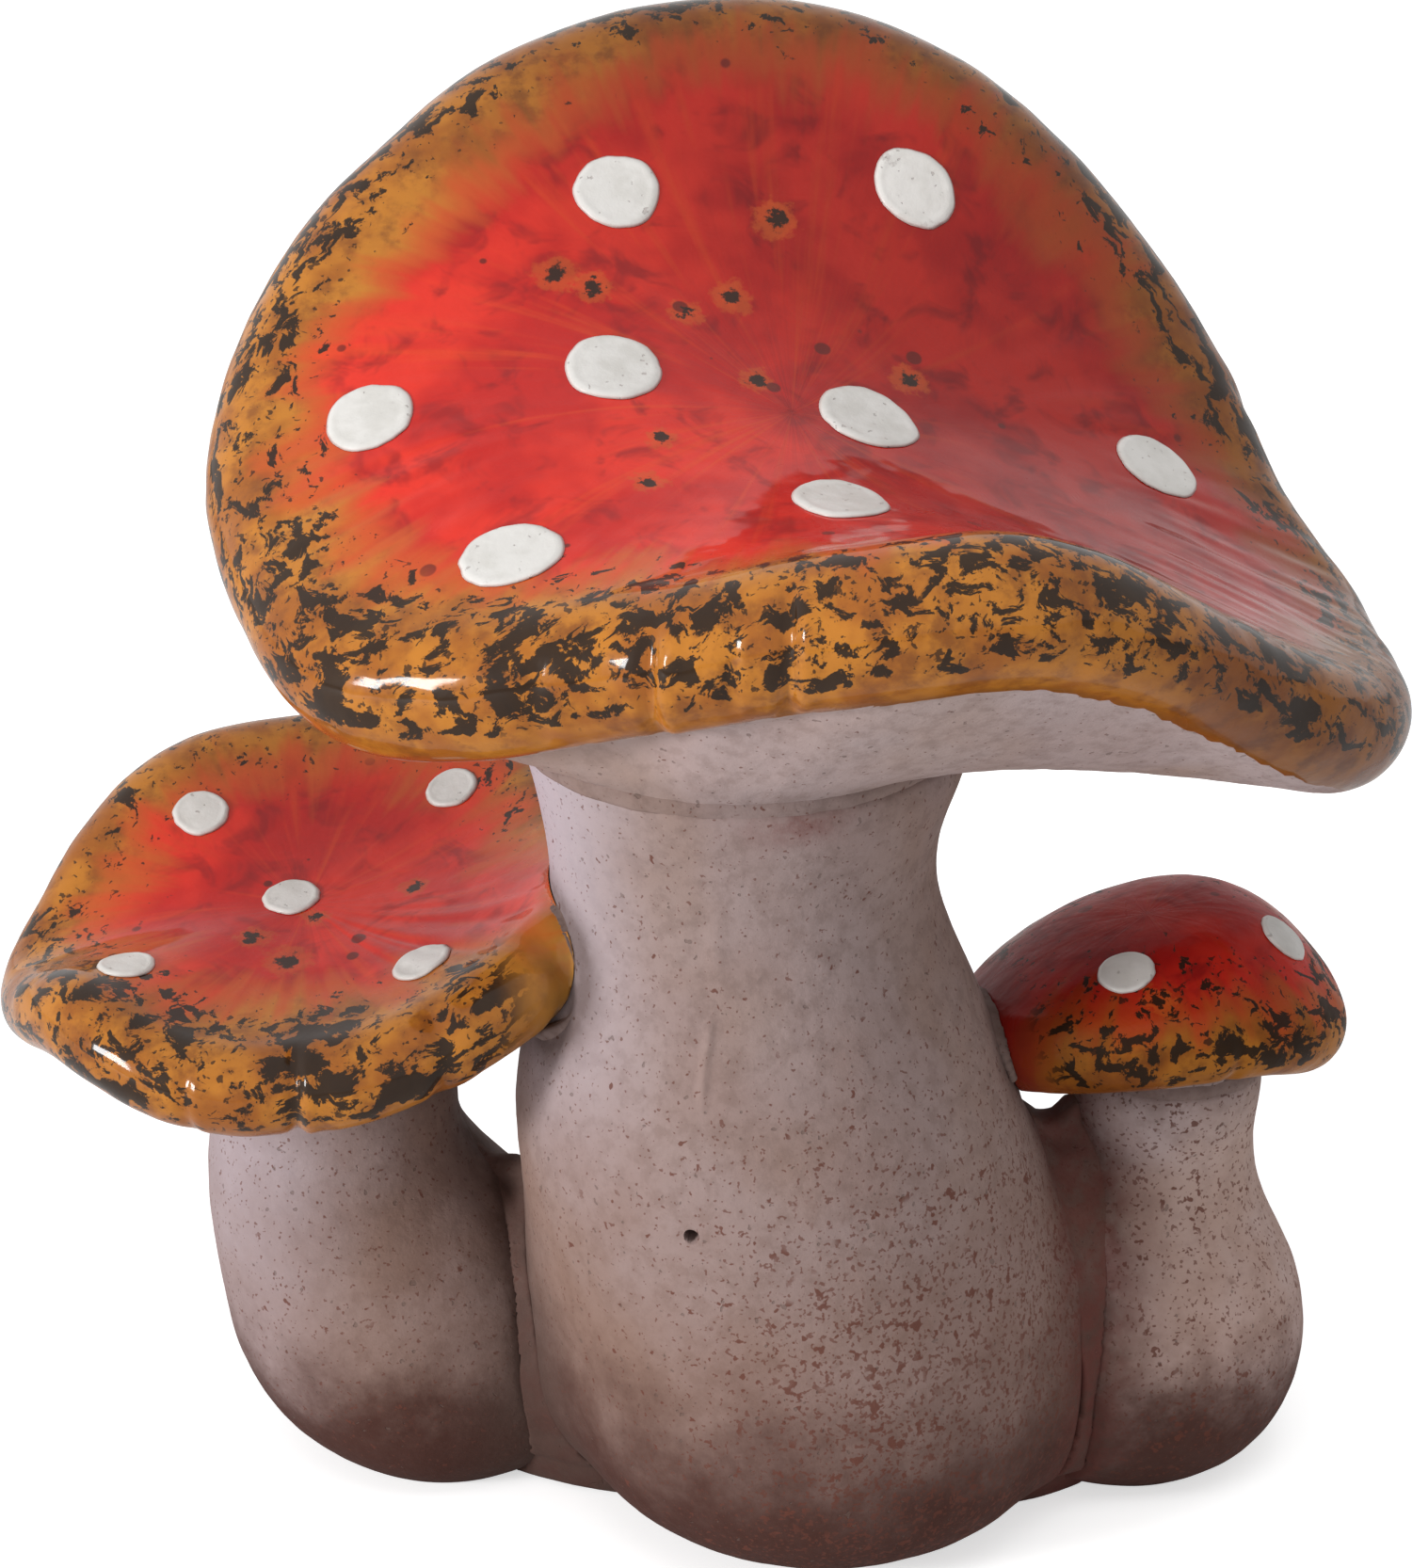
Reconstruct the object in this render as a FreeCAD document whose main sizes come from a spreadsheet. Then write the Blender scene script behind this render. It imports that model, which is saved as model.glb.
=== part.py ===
import FreeCAD, Part
import Sketcher
import math
import os

# Ceramic mushroom ornament: three hollow stems, three glazed hollow caps, the slip that lutes them
# together and the enamel spots. Millimetres, +Z up, origin at the centre of the large stem's foot,
# and the front of the ornament faces -Y.

DOC = FreeCAD.newDocument("mushroom_ornament")
VECTOR = FreeCAD.Vector

# Driving sizes in millimetres, angles in degrees
SIZES = {
    # Walls and seams of the cast pieces
    "stem_wall": 4.5,
    "cap_wall": 4.2,
    "small_cap_wall": 3.0,
    "luting_gap": 0.15,
    "luting_thickness": 1.0,
    "luting_setback": 0.3,
    "cut_overrun": 2.0,
    "spot_thickness": 0.4,
    "spot_bedding": 0.04,
    # Large stem
    "large_stem_height": 94.0,
    "large_stem_radius": 29.4,
    "large_stem_lean": -9.0,
    "large_stem_setback": 0.0,
    "large_neck_radius": 23.6,
    "vent_radius": 0.9,
    "vent_height": 47.0,
    "vent_side": -14.0,
    # Left stem
    "left_stem_height": 48.5,
    "left_stem_radius": 20.2,
    "left_stem_lean": -12.0,
    "left_stem_setback": 0.0,
    "left_stem_tuck": 5.4,
    "left_stem_bearing": 164.2,
    "left_neck_radius": 13.2,
    # Right stem
    "right_stem_height": 48.5,
    "right_stem_radius": 18.2,
    "right_stem_lean": 3.5,
    "right_stem_setback": 1.0,
    "right_stem_tuck": 10.1,
    "right_stem_bearing": 15.8,
    "right_neck_radius": 10.2,
    # Clay webs between the small stems and the large stem
    "left_web_height": 38.0,
    "left_web_proud": 2.0,
    "right_web_height": 45.0,
    "right_web_proud": 1.6,
    "web_ground_gap": 0.4,
    # Large cap
    "large_cap_half_width": 64.5,
    "large_cap_half_depth": 48.5,
    "large_cap_shift": 5.5,
    "large_cap_back": 9.0,
    "large_cap_rise": 55.0,
    "large_cap_crown": 30.5,
    "large_cap_rim_radius": 7.5,
    "large_cap_pinch": 1.9,
    # Left cap
    "left_cap_half_width": 33.0,
    "left_cap_half_depth": 32.0,
    "left_cap_shift": -2.0,
    "left_cap_back": -2.0,
    "left_cap_rise": 23.0,
    "left_cap_crown": 18.5,
    "left_cap_rim_radius": 5.0,
    "left_cap_pinch": 0.9,
    # Right cap
    "right_cap_half_width": 25.4,
    "right_cap_half_depth": 22.0,
    "right_cap_shift": -3.5,
    "right_cap_back": -1.0,
    "right_cap_rise": 9.0,
    "right_cap_crown": 17.3,
    "right_cap_rim_radius": 5.2,
    "right_cap_pinch": 0.3,
    # Slip smeared along the line where the small caps press on the large stem
    "smear_width": 1.3,
    # Enamel spots
    "large_spot_radius": 5.0,
    "left_spot_radius": 3.6,
    "right_spot_radius": 3.3,
}

sheet = DOC.addObject("Spreadsheet::Sheet", "sizes")
for row, (alias, number) in enumerate(SIZES.items(), start=1):
    sheet.set(f"A{row}", alias)
    sheet.set(f"B{row}", str(number))
    sheet.setAlias(f"B{row}", alias)
DOC.recompute()


def size(alias):
    """The number that the sheet holds under an alias."""
    return float(getattr(sheet, alias))


# Stem outlines from foot to neck: height share, lean share, radius share of the bulge. The neck ring
# comes last and takes its radius from the neck.
LARGE_STEM_SHARES = [
    (0.0, 0.0, 0.59),
    (0.027, -0.05, 0.74),
    (0.064, -0.04, 0.875),
    (0.128, 0.02, 0.97),
    (0.234, 0.1, 1.0),
    (0.383, 0.35, 0.98),
    (0.532, 0.64, 0.935),
    (0.681, 0.8, 0.81),
    (0.809, 0.94, 0.71),
    (0.915, 0.94, 0.745),
]
LEFT_STEM_SHARES = [
    (0.0, 0.0, 0.65),
    (0.052, 0.06, 0.8),
    (0.124, 0.16, 0.91),
    (0.247, 0.3, 0.985),
    (0.454, 0.46, 0.99),
    (0.701, 0.86, 0.815),
    (0.866, 1.0, 0.685),
]
RIGHT_STEM_SHARES = [
    (0.0, 0.0, 0.66),
    (0.052, 0.14, 0.82),
    (0.124, 0.29, 0.935),
    (0.247, 0.5, 1.0),
    (0.454, 0.52, 0.94),
    (0.66, 0.7, 0.67),
    (0.825, 1.0, 0.54),
]
CAVITY_FLOOR_STATION = 2

# Rims seen from above, anticlockwise from +X in even steps: reach share of the half width and half
# depth, and height share of the cap's rise above its neck.
LARGE_RIM_SHARES = [
    (1.085, -0.035),
    (1.09, 0.05),
    (1.045, 0.42),
    (0.99, 0.79),
    (1.0, 0.95),
    (1.015, 0.92),
    (1.0, 0.77),
    (0.995, 0.57),
    (1.0, 0.37),
    (1.01, 0.25),
    (1.075, 0.19),
    (1.0, 0.28),
    (1.0, 0.4),
    (1.0, 0.43),
    (1.02, 0.23),
    (1.1, 0.02),
]
LEFT_RIM_SHARES = [
    (0.95, 0.93),
    (0.95, 0.96),
    (1.0, 1.02),
    (1.0, 1.0),
    (0.95, 0.96),
    (0.96, 0.72),
    (1.12, 0.31),
    (1.0, 0.52),
    (1.0, 0.44),
    (1.0, 0.42),
    (1.04, 0.6),
    (1.1, 0.9),
]
RIGHT_RIM_SHARES = [
    (1.1, 0.2),
    (1.0, 0.9),
    (1.0, 0.83),
    (1.0, 0.28),
    (1.0, 0.06),
    (1.0, 0.5),
    (0.97, 0.8),
    (1.0, 0.62),
]

# Pinched creases in the rims: bearing in degrees and depth share of the cap's pinch
LARGE_PINCH_SHARES = [(252.0, 0.9), (268.0, 1.0), (132.0, 0.9), (30.0, 0.9)]
LEFT_PINCH_SHARES = [(272.0, 1.0), (195.0, 0.6)]
RIGHT_PINCH_SHARES = [(300.0, 1.0)]
PINCH_TURN = 5.0

# Rows of a cap from its crown out to the rim crest, round the rim and back in to the neck
CROWN_ROW_SHARES = [0.0, 0.07, 0.19, 0.33, 0.47, 0.61, 0.74, 0.85, 0.94]
RIM_TURN_STEP = 30.0
RIM_TURNS = 6
UNDERSIDE_ROW_SHARES = [0.12, 0.34, 0.58, 0.8, 0.93, 1.0]
RIM_STEPS = 64

# How far a neck edge may stray from its level, as a share of the edge's length
LEVEL_EDGE_SHARE = 0.0001

# Spots on each cap: place shares of the rim's half sizes, length share, width share and turn
LARGE_SPOT_SHARES = [
    (-0.33, 0.64, 0.92, 1.02, 0.0),
    (0.24, 0.75, 1.02, 0.86, -55.0),
    (-0.33, 0.06, 1.04, 1.12, 0.0),
    (-0.77, -0.06, 0.96, 0.98, 0.0),
    (-0.5, -0.63, 1.06, 0.92, 12.0),
    (0.14, 0.06, 1.1, 1.02, -10.0),
    (0.08, -0.45, 0.98, 1.14, 0.0),
    (0.7, 0.34, 1.0, 0.92, -20.0),
]
LEFT_SPOT_SHARES = [
    (-0.46, 0.53, 0.9, 0.9, 0.0),
    (-0.06, 0.05, 0.9, 0.85, 0.0),
    (-0.66, -0.44, 0.92, 0.85, 10.0),
    (0.49, -0.58, 0.95, 0.85, 30.0),
    (0.55, 0.58, 0.85, 0.85, 0.0),
]
RIGHT_SPOT_SHARES = [
    (-0.15, -0.61, 0.95, 0.9, 0.0),
    (0.75, -0.07, 0.95, 0.95, 40.0),
]
SPOT_ROW_SHARES = [0.35, 0.72, 0.95]
SPOT_STEPS = 20

# Crown slopes along X and Y and the power of the fall from crown to rim
LARGE_CROWN_SHARES = (-0.25, 0.24, 2.2)
LEFT_CROWN_SHARES = (0.05, 0.2, 2.2)
RIGHT_CROWN_SHARES = (0.2, 0.05, 2.8)

# Web outline: height share and width share
WEB_SHARES = [(0.0, 0.75), (0.12, 0.9), (0.3, 1.0), (0.6, 0.9), (0.84, 0.4), (1.0, 0.12)]

# Lowest point of a slip smear as a share of the small cap's rise above its neck
SMEAR_FLOOR_SHARE = 0.55
# Breadth of the block that keeps a smear above that floor, as a share of the large cap's half width
SMEAR_WINDOW_SHARE = 4.0


def foot_place(side):
    """Expressions for where a stem's foot centre stands on the ground."""
    if side == "large":
        return "0 mm", "0 mm"
    reach = f"(sizes.large_stem_radius + sizes.{side}_stem_radius - sizes.{side}_stem_tuck) * 1 mm"
    bearing = f"sizes.{side}_stem_bearing * 1 deg"
    return f"{reach} * cos({bearing})", f"{reach} * sin({bearing})"


def add_section(body, side, station, height, lean_share, radius):
    """A circle sketch at a height of a stem, its centre moved along the stem's lean."""
    x, y = foot_place(side)
    sketch = body.newObject("Sketcher::SketchObject", f"{body.Name}_ring_{station}")
    plane = [p for p in body.Origin.OriginFeatures if p.Role == "XY_Plane"][0]
    sketch.AttachmentSupport = [(plane, "")]
    sketch.MapMode = "FlatFace"
    sketch.addGeometry(Part.Circle(VECTOR(0, 0, 0), VECTOR(0, 0, 1), 1))
    sketch.addConstraint(Sketcher.Constraint("Coincident", 0, 3, -1, 1))
    sketch.addConstraint(Sketcher.Constraint("Radius", 0, 1))
    sketch.renameConstraint(1, "ring_radius")
    sketch.setExpression("Constraints.ring_radius", f"({radius}) * 1 mm")
    lean = f"sizes.{side}_stem_lean * {lean_share} * 1 mm"
    setback = f"sizes.{side}_stem_setback * {lean_share} * 1 mm"
    sketch.setExpression(".AttachmentOffset.Base.x", f"{x} + {lean}")
    sketch.setExpression(".AttachmentOffset.Base.y", f"{y} + {setback}")
    sketch.setExpression(".AttachmentOffset.Base.z", f"({height}) * 1 mm")
    return sketch


def stem_sections(body, side, shares, grow, first=0, overrun=False):
    """Sections of a stem from a station up, every radius grown by the same expression."""
    sections = []
    for station, (height_share, lean_share, radius_share) in enumerate(shares[first:], start=first):
        height = f"sizes.{side}_stem_height * {height_share}"
        radius = f"sizes.{side}_stem_radius * {radius_share} + ({grow})"
        sections.append(add_section(body, side, station, height, lean_share, radius))
    neck = f"sizes.{side}_neck_radius + ({grow})"
    height = f"sizes.{side}_stem_height"
    sections.append(add_section(body, side, "neck", height, 1.0, neck))
    if overrun:
        past = f"{height} + sizes.cut_overrun"
        sections.append(add_section(body, side, "past", past, 1.0, neck))
    return sections


def loft(body, kind, name, sections):
    """A smooth loft through sections inside a body."""
    feature = body.newObject(f"PartDesign::{kind}", name)
    feature.Profile = sections[0]
    feature.Sections = sections[1:]
    feature.Ruled = False
    feature.Closed = False
    return feature


def stem_body(name, side, shares, grow, first=0, overrun=False):
    """A solid stem form as a body of its own, used as a piece or as a cutter."""
    body = DOC.addObject("PartDesign::Body", name)
    sections = stem_sections(body, side, shares, grow, first, overrun)
    loft(body, "AdditiveLoft", f"{name}_loft", sections)
    return body


def boolean(kind, name, base, tool):
    """A Part boolean of two objects."""
    result = DOC.addObject(f"Part::{kind}", name)
    result.Base = base
    result.Tool = tool
    return result


def neck_place(side):
    """Expressions for the centre of a stem's neck."""
    x, y = foot_place(side)
    lean = f"sizes.{side}_stem_lean * 1 mm"
    setback = f"sizes.{side}_stem_setback * 1 mm"
    return f"{x} + {lean}", f"{y} + {setback}", f"sizes.{side}_stem_height * 1 mm"


def luting_ring(side, wall):
    """The ring of slip between a stem's neck and its cap."""
    body = DOC.addObject("PartDesign::Body", f"{side}_cap_luting_ring")
    sketch = body.newObject("Sketcher::SketchObject", f"{side}_luting_sketch")
    plane = [p for p in body.Origin.OriginFeatures if p.Role == "XY_Plane"][0]
    sketch.AttachmentSupport = [(plane, "")]
    sketch.MapMode = "FlatFace"
    for index, radius in enumerate(("sizes.luting_setback", f"sizes.{wall}")):
        sketch.addGeometry(Part.Circle(VECTOR(0, 0, 0), VECTOR(0, 0, 1), 2 - index))
        sketch.addConstraint(Sketcher.Constraint("Coincident", index, 3, -1, 1))
        constraint = sketch.addConstraint(Sketcher.Constraint("Radius", index, 2 - index))
        sketch.renameConstraint(constraint, f"radius_{index}")
        expression = f"(sizes.{side}_neck_radius - {radius}) * 1 mm"
        sketch.setExpression(f"Constraints.radius_{index}", expression)
    pad = body.newObject("PartDesign::Pad", f"{side}_luting_pad")
    pad.Profile = sketch
    pad.setExpression("Length", "sizes.luting_thickness * 1 mm")
    for axis, expression in zip("xyz", neck_place(side)):
        body.setExpression(f".Placement.Base.{axis}", expression)
    return body


def large_stem():
    """The hollow large stem, open at its neck, with a pinhole vent in its front."""
    body = stem_body("large_stem", "large", LARGE_STEM_SHARES, "0")
    sections = stem_sections(
        body, "large", LARGE_STEM_SHARES, "-sizes.stem_wall", CAVITY_FLOOR_STATION, True
    )
    loft(body, "SubtractiveLoft", "large_stem_cavity", sections)
    vent = body.newObject("PartDesign::SubtractiveCylinder", "large_stem_vent")
    vent.setExpression("Radius", "sizes.vent_radius * 1 mm")
    vent.setExpression("Height", "(sizes.large_stem_radius + sizes.cut_overrun) * 1 mm")
    vent.Placement = FreeCAD.Placement(VECTOR(0, 0, 0), FreeCAD.Rotation(VECTOR(1, 0, 0), 90))
    vent.setExpression(".Placement.Base.x", "sizes.vent_side * 1 mm")
    vent.setExpression(".Placement.Base.z", "sizes.vent_height * 1 mm")
    return body


def small_stem(side, shares, clear, backed):
    """A hollow small stem, trimmed where it leans against the large stem."""
    outer = stem_body(f"{side}_stem_outer", side, shares, "0")
    core = stem_body(
        f"{side}_stem_core", side, shares, "-sizes.stem_wall", CAVITY_FLOOR_STATION, True
    )
    kept_core = boolean("Cut", f"{side}_stem_hollow", core, backed)
    shell = boolean("Cut", f"{side}_stem_shell", outer, kept_core)
    return boolean("Cut", f"{side}_stem", shell, clear)


def stem_web(side, grown_small, clear):
    """The clay web that fills the groove between a small stem and the large one."""
    x, y = foot_place(side)
    large, small = "sizes.large_stem_radius", f"sizes.{side}_stem_radius"
    reach = f"({large} + {small} - sizes.{side}_stem_tuck)"
    # Half the width over which the two stems' bulges would run into each other
    chord = f"({reach}^2 + {large}^2 - {small}^2) / {reach} / 2"
    shared = f"sqrt({large}^2 - ({chord})^2)"
    half_width = f"({shared} + sizes.{side}_web_proud)"
    rings = []
    for index, (height_share, width_share) in enumerate(WEB_SHARES):
        ring = DOC.addObject("Part::Ellipse", f"{side}_web_ring_{index}")
        ring.setExpression("MajorRadius", f"{reach} / 2 * 1 mm")
        ring.setExpression("MinorRadius", f"{half_width} * {width_share} * 1 mm")
        turn = FreeCAD.Rotation(VECTOR(0, 0, 1), size(f"{side}_stem_bearing"))
        ring.Placement = FreeCAD.Placement(VECTOR(0, 0, 0), turn)
        ring.setExpression(".Placement.Rotation.Angle", f"sizes.{side}_stem_bearing * 1 deg")
        ring.setExpression(".Placement.Base.x", f"({x}) / 2")
        ring.setExpression(".Placement.Base.y", f"({y}) / 2")
        height = f"sizes.web_ground_gap + sizes.{side}_web_height * {height_share}"
        ring.setExpression(".Placement.Base.z", f"({height}) * 1 mm")
        rings.append(ring)
    blank = DOC.addObject("Part::Loft", f"{side}_web_blank")
    blank.Sections = rings
    blank.Solid = True
    blank.Ruled = False
    stems = DOC.addObject("Part::MultiFuse", f"{side}_web_stems")
    stems.Shapes = [grown_small, clear]
    return boolean("Cut", f"{side}_stem_web", blank, stems)


def smear(side, form, smeared_stem, clear):
    """The slip squeezed out along the line where a small cap presses on the large stem."""
    gap, width = size("luting_gap"), size("smear_width")
    near_cap = feature(f"{side}_smear_reach", form.solid(gap + width))
    grown_cap = feature(f"{side}_cap_grown", form.solid(gap))
    window = DOC.addObject("Part::Box", f"{side}_smear_window")
    span = f"sizes.large_cap_half_width * {SMEAR_WINDOW_SHARE}"
    for extent in ("Length", "Width", "Height"):
        window.setExpression(extent, f"{span} * 1 mm")
    window.setExpression(".Placement.Base.x", f"-{span} / 2 * 1 mm")
    window.setExpression(".Placement.Base.y", f"-{span} / 2 * 1 mm")
    rise = f"sizes.{side}_stem_height + sizes.{side}_cap_rise * {SMEAR_FLOOR_SHARE}"
    window.setExpression(".Placement.Base.z", f"({rise}) * 1 mm")
    upper = boolean("Common", f"{side}_smear_upper", near_cap, window)
    off_cap = boolean("Cut", f"{side}_smear_off_cap", upper, grown_cap)
    near_both = boolean("Common", f"{side}_smear_blank", off_cap, smeared_stem)
    return boolean("Cut", f"{side}_cap_slip_smear", near_both, clear)


class CapForm:
    """The freeform outside of a cap, as rows of control points from its crown to its neck."""

    def __init__(self, side, rim_shares, pinch_shares, crown_shares):
        self.side = side
        self.pinch_shares = pinch_shares
        self.slope_x, self.slope_y, self.fall = crown_shares
        self.neck = DOC.getObject(f"{side}_cap_luting_ring").Placement.Base
        self.neck = self.neck + VECTOR(0, 0, size("luting_thickness"))
        turns = [2 * math.pi * i / len(rim_shares) for i in range(len(rim_shares) + 1)]
        points = [
            VECTOR(reach * math.cos(turn), reach * math.sin(turn), height)
            for (reach, height), turn in zip(rim_shares, turns)
        ]
        self.rim_curve = Part.BSplineCurve()
        self.rim_curve.interpolate(Points=points, PeriodicFlag=True, Parameters=turns)

    def named(self, what):
        return size(f"{self.side}_cap_{what}")

    def centre(self):
        """The crown point."""
        offset = VECTOR(self.named("shift"), self.named("back"), self.named("crown"))
        return self.neck + offset

    def half_sizes(self):
        """Half width and half depth of the rim's crest line."""
        rim = self.named("rim_radius")
        return self.named("half_width") - rim, self.named("half_depth") - rim

    def rim(self, turn):
        """Plan offset of the rim's core from the crown, and the core's height over the neck."""
        share = self.rim_curve.value(turn % (2 * math.pi))
        wide, deep = self.half_sizes()
        x, y = wide * share.x, deep * share.y
        reach = math.hypot(x, y)
        for bearing, depth_share in self.pinch_shares:
            away = (math.degrees(turn) - bearing + 180) % 360 - 180
            bump = math.exp(-((away / PINCH_TURN) ** 2))
            reach -= self.named("pinch") * depth_share * bump
        heading = math.atan2(y, x)
        return reach, heading, share.z * self.named("rise")

    def station(self, turn, grow):
        """Control points of one bearing from the crown to the neck, the outside grown by a length."""
        reach, heading, height = self.rim(turn)
        along, across = math.cos(heading), math.sin(heading)
        rim_radius = self.named("rim_radius") + grow
        crown = self.named("crown") + grow
        lean = (self.slope_x * along + self.slope_y * across) * reach
        crest = height + rim_radius
        fall = crest - crown - lean
        centre = self.centre() - VECTOR(0, 0, self.named("crown"))

        def place(distance, lift):
            return centre + VECTOR(distance * along, distance * across, lift)

        points = []
        for share in CROWN_ROW_SHARES:
            points.append(place(reach * share, crown + lean * share + fall * share**self.fall))
        tilt = math.atan2(lean + self.fall * fall, reach)
        full = rim_radius * 3 / (2 + math.cos(math.radians(RIM_TURN_STEP)))
        core_x = reach + rim_radius * math.sin(tilt)
        core_z = crest - rim_radius * math.cos(tilt)
        for step in range(RIM_TURNS + 1):
            angle = math.pi / 2 + tilt - math.radians(RIM_TURN_STEP) * step
            points.append(place(core_x + full * math.cos(angle), core_z + full * math.sin(angle)))
        last = points[-1]
        neck_radius = size(f"{self.side}_neck_radius") + grow
        ring = self.neck + VECTOR(neck_radius * math.cos(turn), neck_radius * math.sin(turn), 0)
        for share in UNDERSIDE_ROW_SHARES:
            points.append(last + (ring - last) * share)
        return points

    def surface(self, grow):
        """One smooth surface that closes on itself round the cap."""
        turns = [2 * math.pi * step / RIM_STEPS for step in range(RIM_STEPS)]
        net = [self.station(turn, grow) for turn in turns]
        rows = len(net[0])
        inner_knots = rows - 3
        row_counts = [4] + [1] * (inner_knots - 1) + [4]
        row_knots = [float(k) for k in range(inner_knots + 1)]
        turn_knots = [float(k) for k in range(RIM_STEPS + 1)]
        skin = Part.BSplineSurface()
        skin.buildFromPolesMultsKnots(
            net, [1] * (RIM_STEPS + 1), row_counts, turn_knots, row_knots, True, False, 3, 3
        )
        return skin

    def solid(self, grow):
        """The cap's outside closed by a flat disc at its neck."""
        skin = self.surface(grow).toShape()
        level = [e for e in skin.Edges if e.BoundBox.ZLength < e.Length * LEVEL_EDGE_SHARE]
        edge = [e for e in level if abs(e.BoundBox.ZMax - self.neck.z) < e.Length * LEVEL_EDGE_SHARE]
        disc = Part.Face(Part.Wire(edge))
        shell = Part.makeShell([skin, disc])
        shell.sewShape()
        body = Part.makeSolid(shell)
        if body.Volume < 0:
            body.reverse()
        return body


def feature(name, shape):
    """A document object that holds a shape made from the sheet's sizes."""
    held = DOC.addObject("Part::Feature", name)
    held.Shape = shape
    held.Placement = FreeCAD.Placement()
    return held


def spot_pad(skin, centre, radius, spot):
    """A thin domed pad of enamel that follows the glazed surface beneath it."""
    x_share, y_share, length_share, width_share, turn = spot
    wide, deep = radius["half"]
    start = centre + VECTOR(wide * x_share, deep * y_share, 0)
    above = Part.Line(start, start + VECTOR(0, 0, 1))
    hits = [h for h in above.intersect(skin)[0]] if above.intersect(skin) else []
    point = max((VECTOR(h.X, h.Y, h.Z) for h in hits), key=lambda p: p.z)
    u, v = skin.parameter(point)
    normal = skin.normal(u, v)
    if normal.z < 0:
        normal = -normal
    first = VECTOR(1, 0, 0) - normal * normal.x
    first.normalize()
    second = normal.cross(first)
    swing = math.radians(turn)
    long_way = first * math.cos(swing) + second * math.sin(swing)
    short_way = second * math.cos(swing) - first * math.sin(swing)
    bedding, thickness = size("spot_bedding"), size("spot_thickness")

    def on_glaze(share, angle, lift):
        flat = point + long_way * (radius["size"] * length_share * share * math.cos(angle))
        flat = flat + short_way * (radius["size"] * width_share * share * math.sin(angle))
        a, b = skin.parameter(flat)
        up = skin.normal(a, b)
        if up.z < 0:
            up = -up
        return skin.value(a, b) + up * lift

    net = []
    for step in range(SPOT_STEPS):
        angle = 2 * math.pi * step / SPOT_STEPS
        row = [on_glaze(0, angle, bedding)]
        row += [on_glaze(share, angle, bedding) for share in SPOT_ROW_SHARES]
        row.append(on_glaze(1, angle, bedding + thickness / 3))
        row += [on_glaze(share, angle, bedding + thickness) for share in reversed(SPOT_ROW_SHARES)]
        row.append(on_glaze(0, angle, bedding + thickness))
        net.append(row)
    inner_knots = len(net[0]) - 3
    pad = Part.BSplineSurface()
    pad.buildFromPolesMultsKnots(
        net,
        [1] * (SPOT_STEPS + 1),
        [4] + [1] * (inner_knots - 1) + [4],
        [float(k) for k in range(SPOT_STEPS + 1)],
        [float(k) for k in range(inner_knots + 1)],
        True,
        False,
        3,
        3,
    )
    solid = Part.makeSolid(Part.makeShell([pad.toShape()]))
    if solid.Volume < 0:
        solid.reverse()
    return solid


def spots(side, form, shares):
    """All the enamel spots of one cap."""
    skin = form.surface(0)
    radius = {"half": form.half_sizes(), "size": size(f"{side}_spot_radius")}
    pads = [spot_pad(skin, form.centre(), radius, spot) for spot in shares]
    return feature(f"{side}_cap_spots", Part.makeCompound(pads))


large = large_stem()
clear_of_large = stem_body("large_stem_clear", "large", LARGE_STEM_SHARES, "sizes.luting_gap")
backed_by_large = stem_body(
    "large_stem_backed", "large", LARGE_STEM_SHARES, "sizes.luting_gap + sizes.small_cap_wall"
)
smeared_large = stem_body(
    "large_stem_smeared", "large", LARGE_STEM_SHARES, "sizes.luting_gap + sizes.smear_width"
)
left = small_stem("left", LEFT_STEM_SHARES, clear_of_large, backed_by_large)
right = small_stem("right", RIGHT_STEM_SHARES, clear_of_large, backed_by_large)
left_grown = stem_body("left_stem_grown", "left", LEFT_STEM_SHARES, "sizes.luting_gap")
right_grown = stem_body("right_stem_grown", "right", RIGHT_STEM_SHARES, "sizes.luting_gap")
left_web = stem_web("left", left_grown, clear_of_large)
right_web = stem_web("right", right_grown, clear_of_large)
rings = [
    luting_ring("large", "cap_wall"),
    luting_ring("left", "small_cap_wall"),
    luting_ring("right", "small_cap_wall"),
]
DOC.recompute()

large_form = CapForm("large", LARGE_RIM_SHARES, LARGE_PINCH_SHARES, LARGE_CROWN_SHARES)
left_form = CapForm("left", LEFT_RIM_SHARES, LEFT_PINCH_SHARES, LEFT_CROWN_SHARES)
right_form = CapForm("right", RIGHT_RIM_SHARES, RIGHT_PINCH_SHARES, RIGHT_CROWN_SHARES)

large_outer = feature("large_cap_outer", large_form.solid(0))
large_core = feature("large_cap_core", large_form.solid(-size("cap_wall")))
large_cap = boolean("Cut", "large_cap", large_outer, large_core)
smears = []
caps = [large_cap]
for side, form in (("left", left_form), ("right", right_form)):
    outer = feature(f"{side}_cap_outer", form.solid(0))
    core = feature(f"{side}_cap_core", form.solid(-size("small_cap_wall")))
    hollow = boolean("Cut", f"{side}_cap_hollow", core, backed_by_large)
    shell = boolean("Cut", f"{side}_cap_shell", outer, hollow)
    caps.append(boolean("Cut", f"{side}_cap", shell, clear_of_large))
    smears.append(smear(side, form, smeared_large, clear_of_large))
all_spots = [
    spots("large", large_form, LARGE_SPOT_SHARES),
    spots("left", left_form, LEFT_SPOT_SHARES),
    spots("right", right_form, RIGHT_SPOT_SHARES),
]
DOC.recompute()

PIECES = [large, left, right, left_web, right_web] + rings + caps + smears + all_spots

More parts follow.
